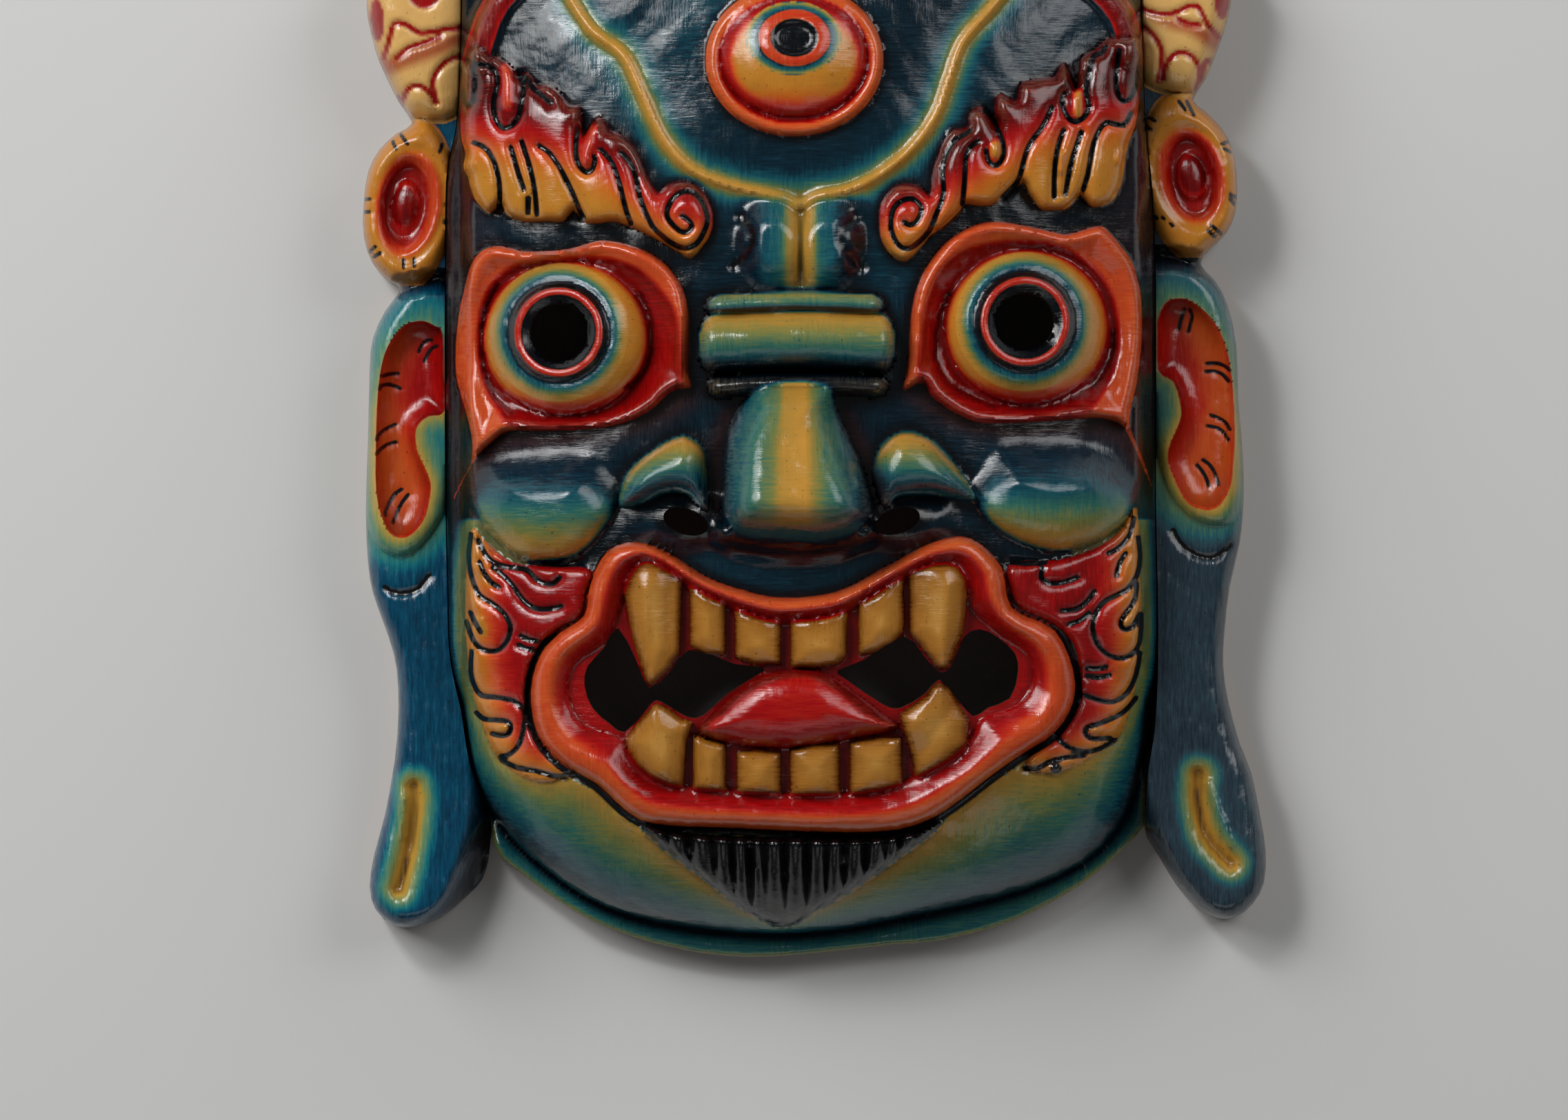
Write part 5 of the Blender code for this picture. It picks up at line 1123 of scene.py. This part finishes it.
def varnished_paint(name, skin, along):
    """Thin brushed coats under a gloss varnish, on carved wood that shows bare behind."""
    material = bpy.data.materials.new(name)
    material.use_nodes = True
    shader = material.node_tree.nodes["Principled BSDF"]
    flow = Flow(material.node_tree)
    place = flow.node("ShaderNodeTexCoord", output="Object")
    stretched = [flow.node("ShaderNodeMapping", {}, {"Vector": place, "Scale": scale})
                 for scale in ((1.0, 9.0, 1.0), (9.0, 1.0, 1.0))]
    cloud = flow.noise(place, CLOUD_SCALE, 2.0)
    strokes = [flow.noise(vector, STROKE_SCALE, 4.0, 0.65) for vector in stretched]
    part = ((cloud - 0.5 + (along - 0.5) * 0.6) * 6.0 + 0.5).clamped()
    streak = strokes[0] * (1.0 - part) + strokes[1] * part
    grain = flow.noise(place, GRAIN_SCALE, 3.0, 0.6)
    wobble = (flow.noise(place, WOBBLE_SCALE, 2.0) - 0.5) * 0.9

    patches = flow.noise(place, PATCH_SCALE, 5.0, 0.65)
    tone = flow.layer("tone") + (streak - 0.5) * 0.36 + (patches - 0.5) * 0.2
    heat = flow.layer("ember") + (streak - 0.5) * 0.32 + (patches - 0.5) * 0.16
    colour = tone.colours(skin)
    dull = (patches - 0.55) * 1.2 * (0.5 - flow.layer("tone"))
    rust = ((flow.layer("rust") + dull.clamped()) * (streak - 0.28) * 2.6).clamped() * 0.85
    colour = rust.choose(colour, flat_paint(flow, RUST))
    warm = flow.patch("warm", wobble * 0.5, 2.2)
    colour = warm.choose(colour, heat.colours(HEAT))
    bone_tone = flow.layer("bone") * 0.13 + (streak - 0.5) * 0.5 + (cloud - 0.5) * 0.3
    bone_paint = flow.layer("cream").choose(bone_tone.colours(TOOTH), (bone_tone + 0.2).colours(SKULL_BONE))
    colour = flow.patch("bone", wobble * 0.4, 2.4).choose(colour, bone_paint)
    wash = (flow.layer("wash") + (streak - 0.5) * 0.25 * flow.layer("wash")).clamped()
    colour = wash.choose(colour, heat.colours(HEAT))
    crease = flow.layer("crease")
    worn = ((-1.0 * crease - 0.5) * (streak - 0.35) * 1.4).clamped() * 0.08
    colour = worn.choose(colour, flat_paint(flow, WORN))
    colour = flow.patch("hair", wobble * 0.4, 2.2).choose(colour, flat_paint(flow, HAIR_BLACK))
    # Creases darkened by their depth: grime together with painted shade, dark red where the paint is red
    grime_and_shade = ((crease - 0.22) * (streak + 0.3)).clamped() * 0.72
    dirt_and_shade = warm.choose(flat_paint(flow, CREASE_GRIME_AND_SHADE), flat_paint(flow, RED_CREASE_GRIME_AND_SHADE))
    colour = grime_and_shade.choose(colour, dirt_and_shade)
    colour = flow.patch("ink", wobble * 0.3, 2.6).choose(colour, flat_paint(flow, BLACK_LINE))
    speck = ((flow.noise(place, SPECK_SCALE, 2.0, 0.7) - 0.66) * 14.0).clamped() * 0.5
    colour = speck.choose(colour, flat_paint(flow, SPECK))

    front = ((flow.layer("front") - 0.55) * 8.0).clamped()
    wood = (strokes[1] * 0.8 + grain * 0.3 - 0.05).colours(BARE_WOOD)
    colour = front.choose(wood, colour)
    flow.tree.links.new(colour.socket, shader.inputs["Base Color"])
    rough = SMOOTHEST + streak * 0.16 + grain * 0.06 + (1.0 - front) * WOOD_ROUGHER
    flow.tree.links.new(rough.socket, shader.inputs["Roughness"])
    dents = flow.noise(place, DENT_SCALE, 2.0, 0.5)
    height = dents * 0.7 + streak * 0.16 + grain * 0.05
    bump = flow.node("ShaderNodeBump", {}, {"Strength": 0.5, "Distance": DENT_DEPTH, "Height": height})
    flow.tree.links.new(bump.socket, shader.inputs["Normal"])
    shader.inputs["IOR"].default_value = VARNISH_IOR
    return material


def finish_piece(panel, node, material):
    """Gives a carved piece its paint and puts it in the place of its solid."""
    panel.data.materials.clear()
    panel.data.materials.append(material)
    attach(panel, "root")
    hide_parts(node)


knife_lines = [smooth_line(line, True, 3) for line in
               (THIRD_EYE, LEFT_LID, RIGHT_LID, NOSE, LEFT_WING, RIGHT_WING, LEFT_FLAME, RIGHT_FLAME,
                LIP, MOUTH, TONGUE, BEARD)]
knife_lines += [smooth_line(line, True, 2) for line in [LEFT_BROW, RIGHT_BROW]]
knife_lines += ROOTED_TEETH
knife_lines += [oval(centre, half, 0, 48) for _, _, centre, half, _ in EYES]
knife_lines += [oval(hole, (radius, radius), 0, 48) for *_, hole in EYES
                for radius in (PUPIL_RING, BLACK_RING)]
knife_lines += [oval(*THIRD_BALL, 0, 48)]
knife_lines = [line + line[:1] for line in knife_lines] + [smooth_line(CHIN_GROOVE)] + LOCK_CUTS
knife_lines += [smooth_line(line) for line in BROW_LINES + FLAME_LINES + EYE_CREASES + KNOT_CREASES]
face_panel, face_x, face_y = sawn_panel("face_carving", face_outline(), holes, knife_lines, FACE_SQUARE)
face_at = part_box("face")[0].x - min(x for x, _ in face_outline()) * SHARE
give_thickness(face_panel, carved_face(face_x, face_y), hollow_behind, face_at)
finish_piece(face_panel, "face", varnished_paint("face_paint_varnished", FACE_SKIN, 0.45))

# Ear boards
# Two thinner boards of the same wood, glued to the sides of the face. Each is carved from the top
# with a small skull, a round ear disc, a long ear and its slit lobe.
BOARD_SQUARE = 0.8
SEAM_GAP = 0.4
BOARD_THICKNESS = 26
BOARD_SKULL_HEIGHT = 8
BOARD_SKULL_FOOT = 72
RED_GROOVE = 0.8
DISC_RIM = 5
DISC_BOSS = 3
EAR_HEIGHT = 4
EAR_HOLLOW_DEPTH = 9
NECK_DEPTH = 6
SLIT_DEPTH = 4
TICK_HALF_WIDTH = 0.62
TICK_CUT = 0.35
EAR_RIM_TONES = [(0, 0.84), (1.6, 0.72), (3.4, 0.56), (6, 0.45), (9, 0.38), (13, 0.28)]
SLIT_TONES = [(0, 0.97), (1.8, 0.88), (3.4, 0.68), (5.4, 0.5), (8, 0.36)]
LEFT_BOARD = [(-109, 129), (-118, 132.5), (-127, 129), (-133, 121), (-135.4, 108.3), (-133.8, 98.5),
              (-131.3, 90), (-125.5, 78), (-121, 71.2), (-126, 67.8), (-131.3, 62.8), (-134.8, 56),
              (-136.2, 46), (-136.2, 36), (-133.5, 27.5), (-128.5, 21.8), (-124.8, 19.4),
              (-129.5, 12.6), (-133.4, 4), (-134.4, -6), (-135, -30), (-135.6, -50), (-134.9, -66),
              (-133.2, -76), (-128.5, -89), (-126, -99), (-125.4, -112), (-126.5, -127),
              (-129.6, -144.5), (-133, -157), (-134.4, -167), (-132.5, -174.3), (-127, -179),
              (-121, -179.6), (-112.5, -177), (-104.5, -170.4), (-99.5, -165), (-97.6, -159)]
RIGHT_BOARD = [(109, 130.5), (118.5, 134), (127, 131.5), (133, 124), (134.7, 114), (133.4, 104),
               (130.5, 95), (126.5, 85), (122.5, 78.4), (126, 75), (131, 70), (134.8, 63),
               (136.1, 54), (135.8, 44), (133, 37), (128, 32), (124.9, 27.4), (129.2, 22.2),
               (133.3, 14.5), (136, 2), (136.6, -14), (138, -32), (138.3, -46), (137.1, -59.7),
               (133.9, -73.5), (132.3, -88), (131.9, -98), (133.5, -109.2), (137.1, -122.4),
               (140.7, -131.5), (143.3, -144), (145.2, -156), (144.6, -166), (141.1, -172.4),
               (136, -176.4), (130.5, -177), (123.9, -173.7), (117.4, -166.4), (112, -157.5),
               (108.4, -152)]
LEFT = {
    "skull": [(-104, 126), (-118, 132.5), (-133, 121), (-135.4, 108), (-133.8, 98.5), (-131.3, 90),
              (-125.5, 78), (-120, 73), (-107, 74), (-104, 90)],
    "ear": [(-108, 19), (-123, 19.5), (-129.5, 12.6), (-133.4, 4), (-134.4, -6), (-135, -30),
            (-135.6, -50), (-132, -60), (-124, -64), (-116, -58), (-110, -46), (-107, -20)],
    "hollow": [(-111.4, 5.4), (-113.7, 7.7), (-117, 9.2), (-120, 9.1), (-123.6, 7.7), (-128.5, 1.4),
               (-131.1, -8.4), (-132.1, -24), (-132.1, -44), (-129.2, -54.5), (-126.2, -57.8),
               (-122.9, -58.1), (-119.6, -55.8), (-116.7, -51.2), (-115, -43), (-116.3, -37.7),
               (-119.3, -31), (-119.6, -24.2), (-115.7, -20.3), (-110.8, -19.1), (-110.8, -8)],
    "lobe": [(-111, -80), (-107, -104), (-104.2, -122), (-103.2, -138), (-104.2, -147),
             (-107.8, -158.6), (-112.4, -169.7), (-117, -175), (-124.5, -178.6), (-131, -176),
             (-134, -166), (-129.6, -144.5), (-125.4, -112), (-128.5, -89), (-133, -76)],
    "slit": [(-120.5, -136), (-120, -141), (-121.3, -151), (-123.3, -160.5), (-125.2, -167.5)],
    "slit_ridge": [(-123.4, -139.5), (-123.6, -145), (-123.9, -151)],
    "core": [(-122.5, -158.5), (-124.4, -165.5)],
    "neck": [(-108, 21.5), (-117, 21.5), (-124, 20)],
    "disc": ((-122.9, 45.5), (13.6, 24.6), -6),
    "rings": [((-122, 45.5), (11, 17.5), -8), ((-123.5, 45.5), (8.3, 14), -6),
              ((-123.5, 45), (4.6, 6.6), -4)],
    "crescent": [(-129.5, -73.6), (-127.9, -74.7), (-124.9, -75.4), (-121.6, -75), (-119, -73.9),
                 (-117, -71.9), (-115.7, -69.9)],
    "spots": [((-131.85, 103), (2.4, 7), 3), ((-117, 113), (6, 7), 0)],
    "red": [[(-130, 91), (-128.3, 95.5), (-127, 100.5), (-125.5, 102), (-123, 101.5), (-120.5, 100),
             (-118, 98.8), (-114, 99.3), (-110, 100), (-104.5, 100.8)],
            [(-125.75, 91), (-123, 93.5), (-120.5, 94.8), (-118, 95.5), (-112, 97.8)],
            [(-123.75, 74.3), (-124.3, 77), (-123.3, 79.5), (-122, 81.5), (-120, 82.4),
             (-117.5, 82), (-115.5, 80.5), (-113.3, 77.3)],
            [(-113.3, 77.3), (-114.3, 82), (-114, 85), (-112.5, 87.5), (-110, 90), (-107.5, 91.3),
             (-105.5, 91.8)],
            [(-125.5, 79), (-124.8, 76.5), (-123.5, 73.8)]],
    "blush": [(-132, 90), (-126, 92), (-118, 95), (-110, 98), (-105, 99.5), (-105, 96), (-112, 92),
              (-120, 89), (-130, 85.5)],
    "ticks": [[(-127, 65.3), (-125.8, 62.6)], [(-124.5, 67.5), (-122.3, 64.3)],
              [(-111.5, 64.5), (-112.3, 61.8)], [(-135.5, 47.3), (-134, 47.3)],
              [(-135.8, 43.3), (-134.3, 43.3)], [(-134.3, 31), (-132.3, 32.5)],
              [(-132.8, 29.3), (-130.8, 30.5)], [(-123.5, 28.5), (-123.5, 25.7)],
              [(-120.2, 28.8), (-120.2, 26.3)], [(-111, 40.8), (-111, 39.5)],
              [(-119, -0.2), (-118, 2.1), (-116.3, 3.4), (-114.9, 3.4)],
              [(-117.3, -3.2), (-116, -0.5), (-114.7, 1.1), (-113.1, 1.6)],
              [(-130.5, -7.9), (-127.9, -7.1), (-125.4, -7)],
              [(-131.1, -12), (-130.5, -10.7), (-127.9, -10.4), (-124.8, -11.6)],
              [(-132, -27.8), (-131.5, -26.2), (-129.2, -24.2), (-126.2, -22.8)],
              [(-132.1, -32.1), (-131.1, -30.8), (-128.8, -29.1), (-125.9, -28.3)],
              [(-129.5, -51.2), (-128.5, -47.9), (-126.5, -44.6), (-124.2, -43)],
              [(-127, -53.5), (-125.9, -50.5), (-124.2, -47.2), (-122.3, -44.7)]]}
RIGHT = {
    "skull": [(104, 126), (118.5, 134), (133, 124), (134.7, 114), (133.4, 104), (130.5, 95),
              (126.5, 85), (122, 80.5), (113, 81.5), (106, 86), (104, 100)],
    "ear": [(108, 27), (118, 27.4), (126, 24.8), (132, 18), (136, 2), (136.6, -14), (138, -32),
            (138.3, -46), (134, -53), (127, -54), (119, -49), (113, -38), (108, -10)],
    "hollow": [(111.1, 4.7), (111.1, 8.7), (112.1, 12.3), (114.1, 15.3), (117.4, 16.3), (121.3, 15.6),
               (127.2, 11), (131.8, 3.4), (134.3, -7.8), (135.3, -24.2), (134.5, -38.7),
               (133.2, -43.9), (130.9, -47.6), (127.9, -49.5), (124.6, -49.2), (121.3, -47.9),
               (118.7, -44.6), (115.1, -36.7), (114.4, -32.1), (115.4, -28.2), (118, -22.2),
               (118.5, -17.6), (116.1, -9.7), (111.4, -6.4)],
    "lobe": [(111.5, -80), (111.2, -108), (108.8, -130.9), (112.1, -146), (116.7, -157.9),
             (122.6, -167.1), (130, -174), (136, -176), (141.1, -172), (144.9, -164), (143.3, -144),
             (137.1, -122.4), (131.9, -98), (133, -76)],
    "slit": [(124, -132), (124, -141), (126.6, -150.7), (130.5, -156), (134, -159.5)],
    "slit_ridge": [(127, -134.5), (128.6, -139.5), (131.2, -146), (133.8, -153.9)],
    "core": [(123.8, -137), (124.6, -146), (127, -151)],
    "neck": [(108, 29), (117, 29), (125, 27)],
    "disc": ((121.8, 54), (13.9, 24.3), 10),
    "rings": [((121.8, 54.5), (11, 16), 14), ((122.2, 55.5), (9.2, 13.2), 8), ((122.6, 55), (4.6, 6.4), 0)],
    "crescent": [(116.1, -55.8), (117.7, -59.1), (120.3, -61.7), (123.9, -63.7), (127.9, -64.3),
                 (131.2, -63), (133.8, -60.4)],
    "spots": [((131.5, 109), (2.6, 6), -4), ((116, 116), (5, 6), 0)],
    "red": [[(106.3, 106.5), (110.5, 105), (114.5, 104.8), (118, 105.8), (120.5, 107), (123, 107.3),
             (124.5, 105.8), (126, 103), (127.5, 100.5), (130.5, 97.5)],
            [(117.5, 103.3), (120, 102), (124, 101.3)],
            [(106.5, 101), (109, 99), (111, 96.5), (112.3, 93.5), (112.5, 91), (112, 87), (111.3, 84)],
            [(112.8, 84.5), (113.5, 88), (115.5, 91.5), (118.5, 92.8), (121.5, 91.8), (123.5, 89.5),
             (124.3, 86.5), (123.8, 83), (123.5, 80.5)],
            [(125, 85), (125.5, 88), (126.5, 90.3), (128, 89.8)]],
    "blush": [(106, 105), (112, 103.5), (118, 103), (125, 101), (131, 98), (129, 93.5), (122, 98),
              (113, 101)],
    "ticks": [[(117.8, 77.8), (119.8, 75)], [(120.3, 77.8), (122.5, 73.3)],
              [(107.3, 73.5), (110.5, 71.5)], [(107.5, 70), (109.3, 68.8)],
              [(131.3, 64.5), (133.8, 65.5)], [(132, 63), (134, 62)], [(133.8, 48.8), (135.8, 47.8)],
              [(133.8, 47.3), (135.3, 45.6)], [(128, 39), (131, 36.5)], [(126.8, 37.5), (129, 35.5)],
              [(110.5, 42), (110.9, 41.2)], [(112.6, 41.6), (113.2, 41)], [(115.2, 39.6), (116, 38.8)],
              [(119.7, 13.3), (118.7, 10), (118, 6.7)], [(121.3, 13), (122.1, 10.7), (121, 6.1)],
              [(126.6, -3.8), (129.9, -3.8), (132.2, -4.6), (133.9, -6.1)],
              [(126.3, -6.4), (129.2, -6.3), (131.8, -7.4), (133.5, -9.4)],
              [(127.9, -19.9), (130.5, -20.9), (132.5, -22.2), (133.9, -24.5)],
              [(126.7, -23.2), (129.9, -23.9), (131.8, -25.2), (133.5, -27.8)],
              [(125.3, -33.8), (127.6, -35.4), (129.2, -38), (130.4, -41.6)],
              [(123.6, -35.4), (125.3, -37.4), (126.6, -39.7), (127.4, -42.3)]]}


def board_outline(seam, free_edge, outwards):
    """Outer edge of a board: along its seam with the face, then round its free edge."""
    inner = [(x + SEAM_GAP * outwards, y) for x, y in smooth_line(seam)]
    return inner + smooth_line(free_edge[::-1])


def carved_board(x, y, free_edge, lines, outwards):
    """The front of one board: skull, ear disc, long ear and slit lobe, carved and painted."""
    c = Carving(x, y, np.zeros(x.shape))
    edge = c.away(smooth_line(free_edge), 20)
    c.z = BOARD_THICKNESS * (0.62 + 0.38 * rise(edge, 6))
    c.tint("tone", 0.22, 1)

    skull = c.inside(lines["skull"])
    c.z = c.z + BOARD_SKULL_HEIGHT * rise(skull, 11)
    upper = (c.y > BOARD_SKULL_FOOT + 3 * outwards) * 1.0
    c.cover("bone", np.where(upper > 0, skull + 1.5, NO_PAINT))
    c.tint("cream", 1, upper)
    c.paint["ember"] = np.where(upper > 0, 0.22, c.paint["ember"])
    blush = c.inside(lines["blush"], 3, 10)
    c.tint("wash", 0.75, (blush + 1.5) / 3)
    for place, half, turn in lines["spots"]:
        spot = c.round_about(place, half, turn)
        c.z = c.z - 0.6 * ease((1.1 - spot) * 4)
        c.tint("wash", 1, (1.02 - spot) * 8)
    for points in lines["red"]:
        away = c.away(smooth_line(points, False, 4), 5)
        c.z = c.z - RED_GROOVE * bead(away, 1.5)
        c.tint("wash", 1, (1.15 - away) / 0.5)

    centre, half, tilt = lines["disc"]
    ring = c.round_about(centre, half, tilt)
    dished = DISC_RIM * np.sqrt(np.clip(1 - ((ring - 0.8) / 0.3) ** 2, 0, 1))
    dished = dished - 2.5 * ease((0.66 - ring) / 0.3)
    c.z = c.z + np.where(ring < 1.1, dished + DISC_BOSS * bead(ring, 0.3), 0)
    groove, dish, boss = [c.round_about(*oval_of) for oval_of in lines["rings"]]
    c.z = c.z - 0.7 * bead(abs(groove - 1) * 12, 1.3) - 0.6 * bead(abs(dish - 1) * 9, 1.2)
    c.z = c.z + 0.5 * bead(abs(boss - 1.1) * 5, 0.9)
    disc_zone = (c.y < centre[1] + half[1] + 2.5) & (c.y > centre[1] - half[1] - 1)
    disc = np.where(disc_zone, np.minimum((1.14 - ring) * half[0], 9), NO_PAINT)
    c.cover("warm", disc)
    heat = mix(0.95, 0.5, ease((1.04 - groove) * 5))
    heat = mix(heat, 0.28, ease((1.04 - dish) * 4))
    heat = mix(heat, 0.12, ease((1.0 - boss) * 5))
    c.tint("ember", heat, disc + 1)
    c.tint("tone", 0.03, np.exp(-(np.maximum(0, c.away(lines["neck"], 12) - 2) / 3) ** 2))

    ear = c.inside(lines["ear"])
    hollow = c.inside(lines["hollow"])
    c.z = c.z + EAR_HEIGHT * rise(ear, 5) - EAR_HOLLOW_DEPTH * rise(hollow, 7)
    c.z = c.z - NECK_DEPTH * bead(c.away(lines["neck"], 6), 4)
    from_hollow = np.maximum(0, -hollow)
    rim_tone = lengthwise(EAR_RIM_TONES, from_hollow + 4 * ease((c.y + 30) / 40))
    c.tint("tone", rim_tone, (13 - from_hollow) / 5 * (abs(c.y + 20) < 60))
    c.cover("warm", hollow)
    # The hollow runs from crimson by the face to lighter salmon at its outer side, partly the paint and
    # partly a painted sheen, and is a little darker just inside its rim
    outer = ease((abs(c.x) - 114 + 4 * np.sin(c.y / 9)) / 13)
    c.tint("ember", mix(0.24, 0.6, outer) - 0.14 * ease((2 - hollow) / 2), hollow + 1)

    crescent = c.away(smooth_line(lines["crescent"], False, 4), 8)
    c.z = c.z - 1.1 * np.exp(-(crescent / 1.2) ** 2)
    c.cover("ink", 0.9 - crescent)

    hang = c.inside(lines["lobe"], 3, 30)
    # Beside the hanging lobe the board is cut lower and painted dark: painted shade in the gap between the
    # lobe and the face
    below = ease((-86 - c.y) / 8) * ease(-hang / 9)
    c.z = c.z * (1 - 0.8 * below)
    c.tint("tone", 0.08, below * 1.5)
    slit = c.away(smooth_line(lines["slit"], False, 4), 16)
    c.z = c.z - SLIT_DEPTH * np.exp(-(slit / 2.3) ** 2)
    c.z = c.z + 1.3 * bead(c.away(smooth_line(lines["slit_ridge"]), 5), 1.2)
    c.tint("tone", lengthwise(SLIT_TONES, slit), (9 - slit) / 3.5)
    c.tint("rust", 1, (1.4 - c.away(lines["core"], 5)) / 1.2)
    for points in lines["ticks"]:
        c.line(points, TICK_HALF_WIDTH, TICK_CUT)
    grain_lines = 0.14 * np.sin(x * 2.1 + 0.9 * np.sin(y / 17)) * (y < -60)
    c.z = c.z + grain_lines + 0.14 * np.sin(x / 3.3 + np.sin(y / 6.1)) * np.sin(y / 5.9)
    return c


LEFT_SKIN = [(0, (6, 16, 24)), (0.12, (6, 38, 56)), (0.25, (6, 70, 96)), (0.38, (22, 106, 116)),
             (0.52, (70, 124, 104)), (0.68, (126, 134, 78)), (0.84, (176, 140, 62)), (1, (196, 142, 60))]
RIGHT_SKIN = [(0, (12, 18, 22)), (0.12, (24, 34, 42)), (0.25, (46, 60, 70)), (0.38, (38, 86, 94)),
              (0.52, (72, 110, 88)), (0.68, (124, 122, 66)), (0.84, (170, 130, 56)), (1, (190, 134, 54))]

for name, slot, seam, free_edge, outwards, lines, skin in (
        ("left_ear_board", "left_board_paint", LEFT_SEAM, LEFT_BOARD, -1, LEFT, LEFT_SKIN),
        ("right_ear_board", "right_board_paint", RIGHT_SEAM, RIGHT_BOARD, 1, RIGHT, RIGHT_SKIN)):
    outline = board_outline(seam, free_edge, outwards)
    cuts = [smooth_line(lines[part], True, 3) for part in ("hollow", "lobe")]
    panel, board_x, board_y = sawn_panel(name + "_carving", outline, [], [cut + cut[:1] for cut in cuts],
                                         BOARD_SQUARE)
    carving = carved_board(board_x, board_y, free_edge, lines, outwards)
    give_thickness(panel, carving, lambda x, y: np.zeros(x.shape), face_at)
    finish_piece(panel, name, varnished_paint(name + "_varnished", skin, 0.9))

# Floor, light and camera
# A plain pale floor that the mask lies on, soft boxes on both sides, all of them on the crown's side
# but for a low one at the chin, and the camera straight above, as the photo looks at the mask.
FLOOR_SIZE = 12.0
FLOOR_GREY = (0.55, 0.55, 0.54, 1)
FLOOR_ROUGHNESS = 0.7
FLOOR_GAP = 0.0003         # keeps the floor and the flat rim out of one plane
CAMERA_HEIGHT = 6.0
FRAME_WIDTH = 0.4857       # width of the photo at the depth of the cheeks, in metres
FRAME_DEPTH = 0.060
VIEW_CENTRE = (-0.0095, -0.0651)
LIT_POINT = (0, 0, 0.05)
ROOM_LIGHT = (0.8, 0.82, 0.85, 1)
ROOM_STRENGTH = 0.09
SENSOR_WIDTH = 36

bpy.ops.object.select_all(action="DESELECT")
bpy.ops.mesh.primitive_plane_add(size=FLOOR_SIZE, location=(0, 0, -FLOOR_GAP))
floor = bpy.context.active_object
floor.name = "floor"
floor_paint = bpy.data.materials.new("pale_floor")
floor_paint.use_nodes = True
floor_shader = floor_paint.node_tree.nodes["Principled BSDF"]
floor_shader.inputs["Base Color"].default_value = FLOOR_GREY
floor_shader.inputs["Roughness"].default_value = FLOOR_ROUGHNESS
floor.data.materials.append(floor_paint)


def soft_box(name, place, size, power):
    """A soft box that looks at the mask."""
    light = bpy.data.lights.new(name, "AREA")
    light.shape = "RECTANGLE"
    light.size, light.size_y = size
    light.energy = power
    lamp = bpy.data.objects.new(name, light)
    bpy.context.scene.collection.objects.link(lamp)
    lamp.location = place
    lamp.rotation_euler = (Vector(LIT_POINT) - Vector(place)).to_track_quat("-Z", "Y").to_euler()


soft_box("left_box", (-1.3, 0.95, 1.4), (1.2, 1.5), 35)
soft_box("left_lamp", (-0.85, 1.0, 1.6), (0.25, 0.4), 9)
soft_box("right_box", (1.35, 0.9, 1.3), (1.2, 1.5), 18)
soft_box("chin_box", (0.2, -2.0, 1.2), (2.0, 0.8), 3.5)
world = bpy.data.worlds.new("studio")
world.use_nodes = True
room = world.node_tree.nodes["Background"]
room.inputs["Color"].default_value = ROOM_LIGHT
room.inputs["Strength"].default_value = ROOM_STRENGTH
bpy.context.scene.world = world
bpy.context.scene.view_settings.view_transform = "Standard"

lens = bpy.data.cameras.new("camera")
lens.sensor_width = SENSOR_WIDTH
lens.lens = lens.sensor_width * (CAMERA_HEIGHT - FRAME_DEPTH) / FRAME_WIDTH
camera = bpy.data.objects.new("camera", lens)
camera.location = (*VIEW_CENTRE, CAMERA_HEIGHT)
bpy.context.scene.collection.objects.link(camera)
bpy.context.scene.camera = camera
